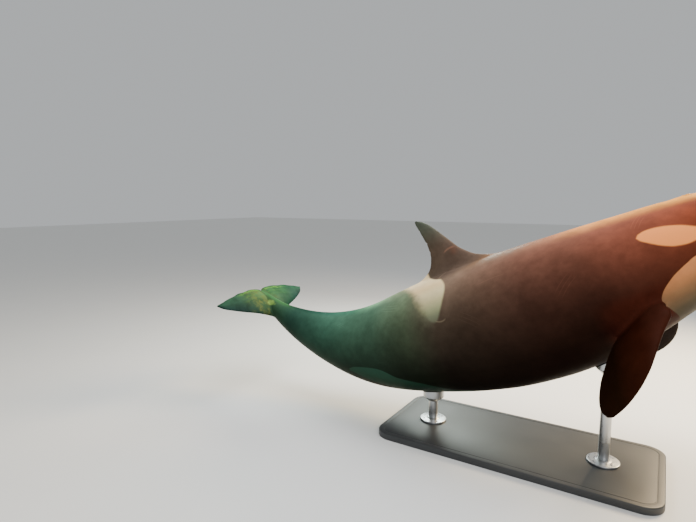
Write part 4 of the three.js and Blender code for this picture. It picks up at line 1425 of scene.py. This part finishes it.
def skinMaterial():
    # Black skin, then saddle, white underside, eye patch, scars and flukes laid over it in turn
    material, where = startMaterial("orca_wet_skin")
    along, turn, stand, saddle, foot = map(attribute, ("along", "turn", "standOut", "saddle", "finFoot"))
    near = remap(partOf(where, 1), 0.01, -0.01)
    cloud, mottle, grain = [hideNoise(name, where) for name in ("cloud", "mottle", "grain")]
    wobble = hideWander("edge", where)
    shift = times(plus(wobble, hideWander("fineEdge", where)), comesIn("wobble", along))
    fades = hide["fades"]
    front = remap(plus(saddle, shift), *fades["saddle"])
    ragged = plus(hideWander("ragged", where), times(wobble, 3.0))
    rear = remap(plus(saddle, ragged), *fades["saddleRear"])
    share = mixColour(comesIn("saddleRear", along), grey(front), grey(rear))
    # keeps the saddle out of the painted shade at the fin's foot
    clear = minus(1.0, remap(foot, *fades["saddleTop"]))
    share = times(share, times(comesIn("saddleMottle", mottle), clear))
    colour = darkSkin(along, turn, stand, near, cloud, mottle)
    # the grey saddle, brighter towards the top in painted light and darker low in painted shade
    colour = mixColour(share, colour, byTurn(turn, hide["saddle"]))
    white = remap(plus(attribute("whiteUnder"), shift), *fades["white"])
    colour = mixColour(white, colour, paleSkin(along, turn, cloud, mottle))
    patch = remap(plus(attribute("eyePatch"), shift), *fades["patch"])
    colour = mixColour(patch, colour, hide["patch"])
    colour = oldScars(colour, along, turn, stand, near)
    coarse, fine, *lift = hide["bump"]
    return finishMaterial(material, {
        "Base Color": flukeSkin(colour, where, along, turn, stand),
        "Roughness": comesIn("rough", mottle),
        "Specular IOR Level": hide["specular"],
        "Specular Tint": hide["specularTint"],
    }, (plus(times(mottle, coarse), times(grain, fine)), *lift))


skinObject.data.materials.append(skinMaterial())
print("skin finished")


# Eyes

iris = dict(
    rings=40,
    sides=64,
    scale=30,  # colours per metre from the axis
    colours=[
        (0.0, (0.001, 0.001, 0.002)), (0.16, (0.002, 0.002, 0.003)), (0.21, (0.013, 0.005, 0.002)),
        (0.38, (0.024, 0.010, 0.004)), (0.43, (0.004, 0.002, 0.001)), (0.52, (0.045, 0.020, 0.014)),
        (0.75, (0.070, 0.028, 0.020)), (1.0, (0.03, 0.012, 0.008)),
    ],
    rim=0.03,  # where the colours end, also the whole back of the ball
    rough=(0.010, 0.018, (0.06, 0.22)),
    specular=0.06,
    coat=(0.07, 0.03),
)


def eyeMesh(side):
    # A ball turned about its outward axis, with a low dome for the cornea
    spot, ahead, across, out = eyeFrames[side]
    ball, sides = eye["ball"], iris["sides"]
    dome, reach = eye["cornea"]
    turns = np.linspace(0, np.pi, iris["rings"])[1:-1]
    radius = ball * np.sin(turns)
    depth = ball * np.cos(turns) + dome * bump(radius / reach, 1) * (turns < 1.5)
    angle = 2 * np.pi * np.arange(sides) / sides
    centre = spot - out * eye["sunk"]
    rows = centre + ring(radius[:, None], angle, depth[:, None]) @ np.stack([ahead, across, out])
    ends = [centre + out * (ball + dome), centre - out * ball]
    points, faces = closedRows(*[part / (-body["length"], 1, 1) for part in (rows, *ends)])
    fromAxis = np.repeat(np.where(turns < np.pi / 2, radius, iris["rim"]), sides)
    return bend(points), faces, np.concatenate([fromAxis, [0, iris["rim"]]])


def eyeMaterial():
    # Rings of colour by the distance from the axis, a little streaked, under a thin wet coat
    material, where = startMaterial("dark_eye")
    away = attribute("fromAxis")
    place = times(plus(away, wander(0.003, where, 260, 4, 0.6)), iris["scale"])
    return finishMaterial(material, {
        "Base Color": ramp(place, iris["colours"]),
        "Roughness": remap(away, *iris["rough"]),
        "Specular IOR Level": iris["specular"],
        "Coat Weight": iris["coat"][0],
        "Coat Roughness": iris["coat"][1],
    })


eyeFinish = eyeMaterial()
for side, name in ((1, "left"), (-1, "right")):
    points, faces, fromAxis = eyeMesh(side)
    ball = meshObject("orca_eye_" + name, points, faces)
    addAttribute(ball.data, "fromAxis", fromAxis)
    ball.data.materials.append(eyeFinish)
    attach(ball, "root")
    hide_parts("eye_" + name)
print("eyes set")


# Display stand

stand = dict(
    base=dict(
        length=2.4, width=1.1, corner=0.160,
        profile=[  # metres in from the outside, and height
            (0.15, 0), (0, 0), (0, 0.060), (0.050, 0.060), (0.0515, 0.0575), (0.0565, 0.0575),
            (0.058, 0.060), (0.15, 0.060),
        ],
        easing=(0.006, 0.012, 0.0009, 0.0009, 0.0009, 0.0009),
    ),
    gap=0.0003,
    sides=96,
    rods=dict(front=0.3, rear=0.59),  # share of the orca's length
    rodRadius=0.045,
    foot=dict(radius=0.130, height=0.028, shoulder=0.062, edge=0.018, step=0.022),
    screws=dict(circle=0.098, count=4, sides=36, sunk=0.0085, socket=0.0043, profile=[
        (0, 0.0016), (0.0043, 0.0016), (0.0043, 0.0046), (0.0065, 0.0044), (0.0088, 0.0020),
        (0.0088, -0.002), (0, -0.002),
    ]),
    cupRadius=0.105,
    cupHeight=0.070,  # below the lowest point of its rim
    cupFlare=0.045,
    cupRim=[  # metres in from the outside, and height against the belly: wall, pad's edge and its top
        (0, -0.0100), (0.0008, -0.0092), (0.0022, -0.0090),
        (0.0022, -0.003), (0.0030, -0.0010), (0.0055, 0),
    ],
    wallRings=2,  # of the rim that are still steel
    clearance=0.0012,  # between the pad and the belly
    sharp=35,  # degrees between two faces that meet in a hard edge
    steel=dict(
        squeezed=(5, 5, 900),  # the place that the rings' noise reads, fine along Z
        colours=[(0.46, 0.47, 0.48, 1), (0.60, 0.61, 0.62, 1)],
        rough=(0.24, 0.36),
        smudge=(0, 0.12),  # added to the roughness in places
    ),
    rubber=dict(colours=[(0.010, 0.010, 0.011, 1), (0.022, 0.022, 0.023, 1)], rough=0.78),
    lacquer=dict(
        colours=[(0.022, 0.024, 0.026, 1), (0.034, 0.036, 0.038, 1)],
        specks=(0.10, 0.105, 0.11, 1),
        speckShare=0.35,
        rough=(0.42, 0.47),
    ),
)


def eased(corners, radii, steps=6):
    # Every inner corner B becomes the parabola (1-t)^2 A + 2t(1-t) B + t^2 C, A and C a radius away
    corners = np.array(corners, float)
    middle = corners[1:-1]
    back, ahead = corners[:-2] - middle, corners[2:] - middle
    sizes = [np.linalg.norm(side, axis=1) for side in (back, ahead)]
    reach = np.minimum(np.broadcast_to(radii, len(middle)), 0.45 * np.minimum(*sizes))
    start, end = middle + back * (reach / sizes[0])[:, None], middle + ahead * (reach / sizes[1])[:, None]
    t = np.linspace(0, 1, steps)[:, None, None]
    curve = (1 - t) ** 2 * start + 2 * t * (1 - t) * middle + t ** 2 * end
    return np.concatenate([corners[:1], curve.transpose(1, 0, 2).reshape(-1, 2), corners[-1:]])


def turnedPiece(profile, centre, columns=stand["sides"], socket=0.0):
    # Rings of radius r at height h about an upright axis; a ring inside the socket's radius is
    # six-sided, its r divided by cos of the angle from the middle of the nearest flat
    radius, height = np.array(profile, float)[1:-1].T
    angle = 2 * np.pi * np.arange(columns) / columns
    flat = 1 / np.cos((angle + np.pi / 6) % (np.pi / 3) - np.pi / 6)
    spread = np.where((radius <= socket * 1.001)[:, None], flat, 1.0) * radius[:, None]
    ends = [np.array([0, 0, profile[k][1]]) + centre for k in (0, -1)]
    return closedRows(ring(spread, angle, height[:, None]) + centre, *ends)


def basePiece():
    # Rounded rectangles, one for each profile point: corner centres plus (R - inset)(cos, sin)
    base = stand["base"]
    corner = base["corner"]
    inset, height = eased(base["profile"], base["easing"]).T
    arc = np.linspace(0, np.pi / 2, 15)
    angle = np.concatenate([arc + quarter * np.pi / 2 for quarter in range(4)])
    quarter = np.repeat(np.arange(4), len(arc))
    middle = np.stack([np.where((quarter == 0) | (quarter == 3), 1, -1) * (base["length"] / 2 - corner),
                       np.where(quarter < 2, 1, -1) * (base["width"] / 2 - corner),
                       np.zeros(len(angle))], axis=-1)
    rows = ring((corner - inset)[:, None], angle, height[:, None]) + middle
    return closedRows(rows, np.zeros(3), np.array([0, 0, base["profile"][-1][1]]))


def undersideAt(x, y, along):
    # Height of the belly over a floor place: steps along the spine until the skin's x is the wanted one
    along = np.full(x.shape, along)
    for _ in range(12):
        wide = widthAt(along * 1000) * thousandth
        angle = -np.arccos(np.sign(y) * np.clip(np.abs(y) / wide, 0, 1) ** (1 / keelAt(along * 1000)))
        found = bend(plainSkin(along, angle))
        along = along + 0.9 * (found[..., 0] - x) / body["length"]
    return found[..., 2]


def standHeights(along):  # x of the rod's axis, and the heights of the cup's foot and the foot's underside
    x, _, z = bend(plainSkin(np.float64(along), np.float64(-np.pi / 2)))
    slope = abs(math.tan(math.radians(float(pitchAt(along)))))
    base = stand["base"]["profile"][-1][1]
    return x, z - slope * stand["cupRadius"] - stand["cupHeight"], base + stand["gap"]


def cupPiece(along):
    # Turned below, with an upright wall and a pad whose top lies against the belly
    x, bottom, _ = standHeights(along)
    angle = 2 * np.pi * np.arange(stand["sides"]) / stand["sides"]
    outer, flare = stand["cupRadius"], stand["cupFlare"]
    low = eased([(0, 0), (stand["rodRadius"] + 0.006, 0), (outer, flare), (outer, flare + 0.012)],
                (0.004, 0.020))[1:]
    top = [(outer - inset, height) for inset, height in stand["cupRim"]]
    top += [(outer * share, 0) for share in (0.8, 0.6, 0.4, 0.2)]
    radius = np.array([row[0] for row in top])[:, None]
    ground = undersideAt(x + radius * np.cos(angle), radius * np.sin(angle), along) - stand["clearance"]
    rows = [ring(r, angle, bottom + h) for r, h in low]
    rows += [ring(r, angle, level + h) for (r, h), level in zip(top, ground)]
    peak = undersideAt(np.array([x]), np.array([0.0]), along)[0] - stand["clearance"]
    points, faces = closedRows(np.array(rows) + (x, 0, 0), np.array([x, 0, bottom]), np.array([x, 0, peak]))
    pad = np.repeat(np.arange(len(rows)) >= len(low) + stand["wallRings"], stand["sides"])
    return points, faces, np.concatenate([pad, [False, True]])


def footPiece(along):
    # A low turned flange, its top rising a little towards the rod, with its screws
    x, _, level = standHeights(along)
    foot, screws = stand["foot"], stand["screws"]
    tall, wide, shoulder = foot["height"], foot["radius"], foot["shoulder"]
    corners = [(0, 0), (wide, 0), (wide, foot["edge"]), (shoulder, foot["step"]), (shoulder - 0.006, tall),
               (0, tall)]
    pieces = [turnedPiece(eased(corners, (0.002, 0.006, 0.006, 0.003)), (x, 0, level))]
    for turn in np.pi / 4 + 2 * np.pi * np.arange(screws["count"]) / screws["count"]:
        spot = (x + screws["circle"] * math.cos(turn), screws["circle"] * math.sin(turn),
                level + tall - screws["sunk"])
        pieces.append(turnedPiece(screws["profile"], spot, screws["sides"], screws["socket"]))
    return merged(pieces)


def merged(pieces):  # several closed meshes as one list of points and faces
    starts = np.cumsum([0] + [len(points) for points, _ in pieces])
    return (np.concatenate([points for points, _ in pieces]),
            np.concatenate([faces + start for (_, faces), start in zip(pieces, starts)]))


def rodPiece(along):  # a turned rod from the foot's top to the cup, a gap from both
    x, bottom, level = standHeights(along)
    low = level + stand["foot"]["height"] + stand["gap"]
    tall, wide = bottom - stand["gap"] - low, stand["rodRadius"]
    return turnedPiece(eased([(0, 0), (wide, 0), (wide, tall), (0, tall)], 0.002), (x, 0, low))


def steelMaterial():
    # Turned steel: fine rings from a noise squeezed along Z, faint smudges, and rubber on the pads
    material, where = startMaterial("turned_steel")
    finish, rubber = stand["steel"], stand["rubber"]
    squeezed = addNode("Mapping", {"Vector": where, "Scale": finish["squeezed"]}).outputs[0]
    rings = noise(squeezed, 1.0, 4, 0.6)
    pad = attribute("pad")
    bare = mixColour(rings, *finish["colours"])
    soft = mixColour(noise(where, 240, 3, 0.6), *rubber["colours"])
    smudge = remap(noise(where, 11, 5, 0.6, 0.4), 0.45, 0.75, finish["smudge"])
    rough = plus(remap(rings, 0.3, 0.7, finish["rough"]), smudge)
    return finishMaterial(material, {
        "Base Color": mixColour(pad, bare, soft),
        "Roughness": calc("MAXIMUM", rough, times(pad, rubber["rough"])),
        "Metallic": minus(1.0, pad),
    }, (rings, 0.12, 0.0004))


def lacquerMaterial():
    # Satin lacquer with a fine orange peel, a few paler specks and cloudy wear
    material, where = startMaterial("satin_lacquer")
    finish = stand["lacquer"]
    cloud = noise(where, 3.2, 5, 0.6)
    specks = times(remap(noise(where, 700, 1, 0.4), 0.74, 0.80), finish["speckShare"])
    return finishMaterial(material, {
        "Base Color": mixColour(specks, mixColour(cloud, *finish["colours"]), finish["specks"]),
        "Roughness": remap(cloud, 0.3, 0.7, finish["rough"]),
    }, (noise(where, 320, 3, 0.55), 0.15, 0.0005))


def standPiece(name, node, shape, material):  # a shape takes the place of a node
    points, faces, *pad = shape
    piece = meshObject(name, points, faces)
    addAttribute(piece.data, "pad", pad[0] if pad else np.zeros(len(points)))
    piece.data.materials.append(material)
    piece.data.set_sharp_from_angle(angle=math.radians(stand["sharp"]))
    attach(piece, "root")
    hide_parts(node)


steel = steelMaterial()
standPiece("stand_plinth", "stand_base", basePiece(), lacquerMaterial())
for end, along in stand["rods"].items():
    standPiece("stand_flange_" + end, "stand_foot_" + end, footPiece(along), steel)
    standPiece("stand_post_" + end, "stand_rod_" + end, rodPiece(along), steel)
    standPiece("stand_cradle_" + end, "stand_cup_" + end, cupPiece(along), steel)
print("stand finished")


# Room

room = dict(
    floor=[(0.776, 0.776, 0.7566, 1), (0.80, 0.80, 0.78, 1)],
    floorRough=0.85,
    size=90,
    air=(0.90, 0.93, 0.95, 1),
    airStrength=0.55,
    lamps=[  # name, place, aimed at, size, watts, colour
        ("overhead", (0.4, 0.6, 6.5), (-0.2, 0, 1.2), 6.0, 560, (1, 1, 1)),
        ("side", (3.5, -6.0, 4.5), (0.3, 0, 1.3), 4.0, 150, (1, 1, 1)),
        ("rim", (2.6, 4.6, 4.6), (1.2, 0, 2.1), 3.0, 1000, (1, 0.76, 0.46)),
        ("tail_rim", (-2.6, 4.0, 3.2), (-2.2, 0, 1.0), 2.0, 160, (0.88, 1, 0.92)),
    ],
)


def makeFloor():  # one large square
    half = room["size"] / 2
    corners = np.array([(-half, -half, 0), (half, -half, 0), (half, half, 0), (-half, half, 0)])
    floor = meshObject("floor", corners, np.array([(0, 1, 2, 3)]))
    material, where = startMaterial("pale_floor")
    tone = mixColour(noise(where, 1.5, 4, 0.6), *room["floor"])
    inputs = {"Base Color": tone, "Roughness": room["floorRough"]}
    floor.data.materials.append(finishMaterial(material, inputs))


def makeLight():  # even air and soft round lamps
    world = bpy.data.worlds.new("room_air")
    world.use_nodes = True
    air = world.node_tree.nodes["Background"].inputs
    air[0].default_value, air[1].default_value = room["air"], room["airStrength"]
    bpy.context.scene.world = world
    for name, place, aim, size, watts, colour in room["lamps"]:
        data = bpy.data.lights.new(name, "AREA")
        data.shape, data.size, data.energy, data.color = "DISK", size, watts, colour
        lamp = bpy.data.objects.new(name, data)
        lamp.location = place
        lamp.rotation_euler = (Vector(place) - Vector(aim)).to_track_quat("Z", "Y").to_euler()
        bpy.context.scene.collection.objects.link(lamp)


makeFloor()
makeLight()
print("room lit")
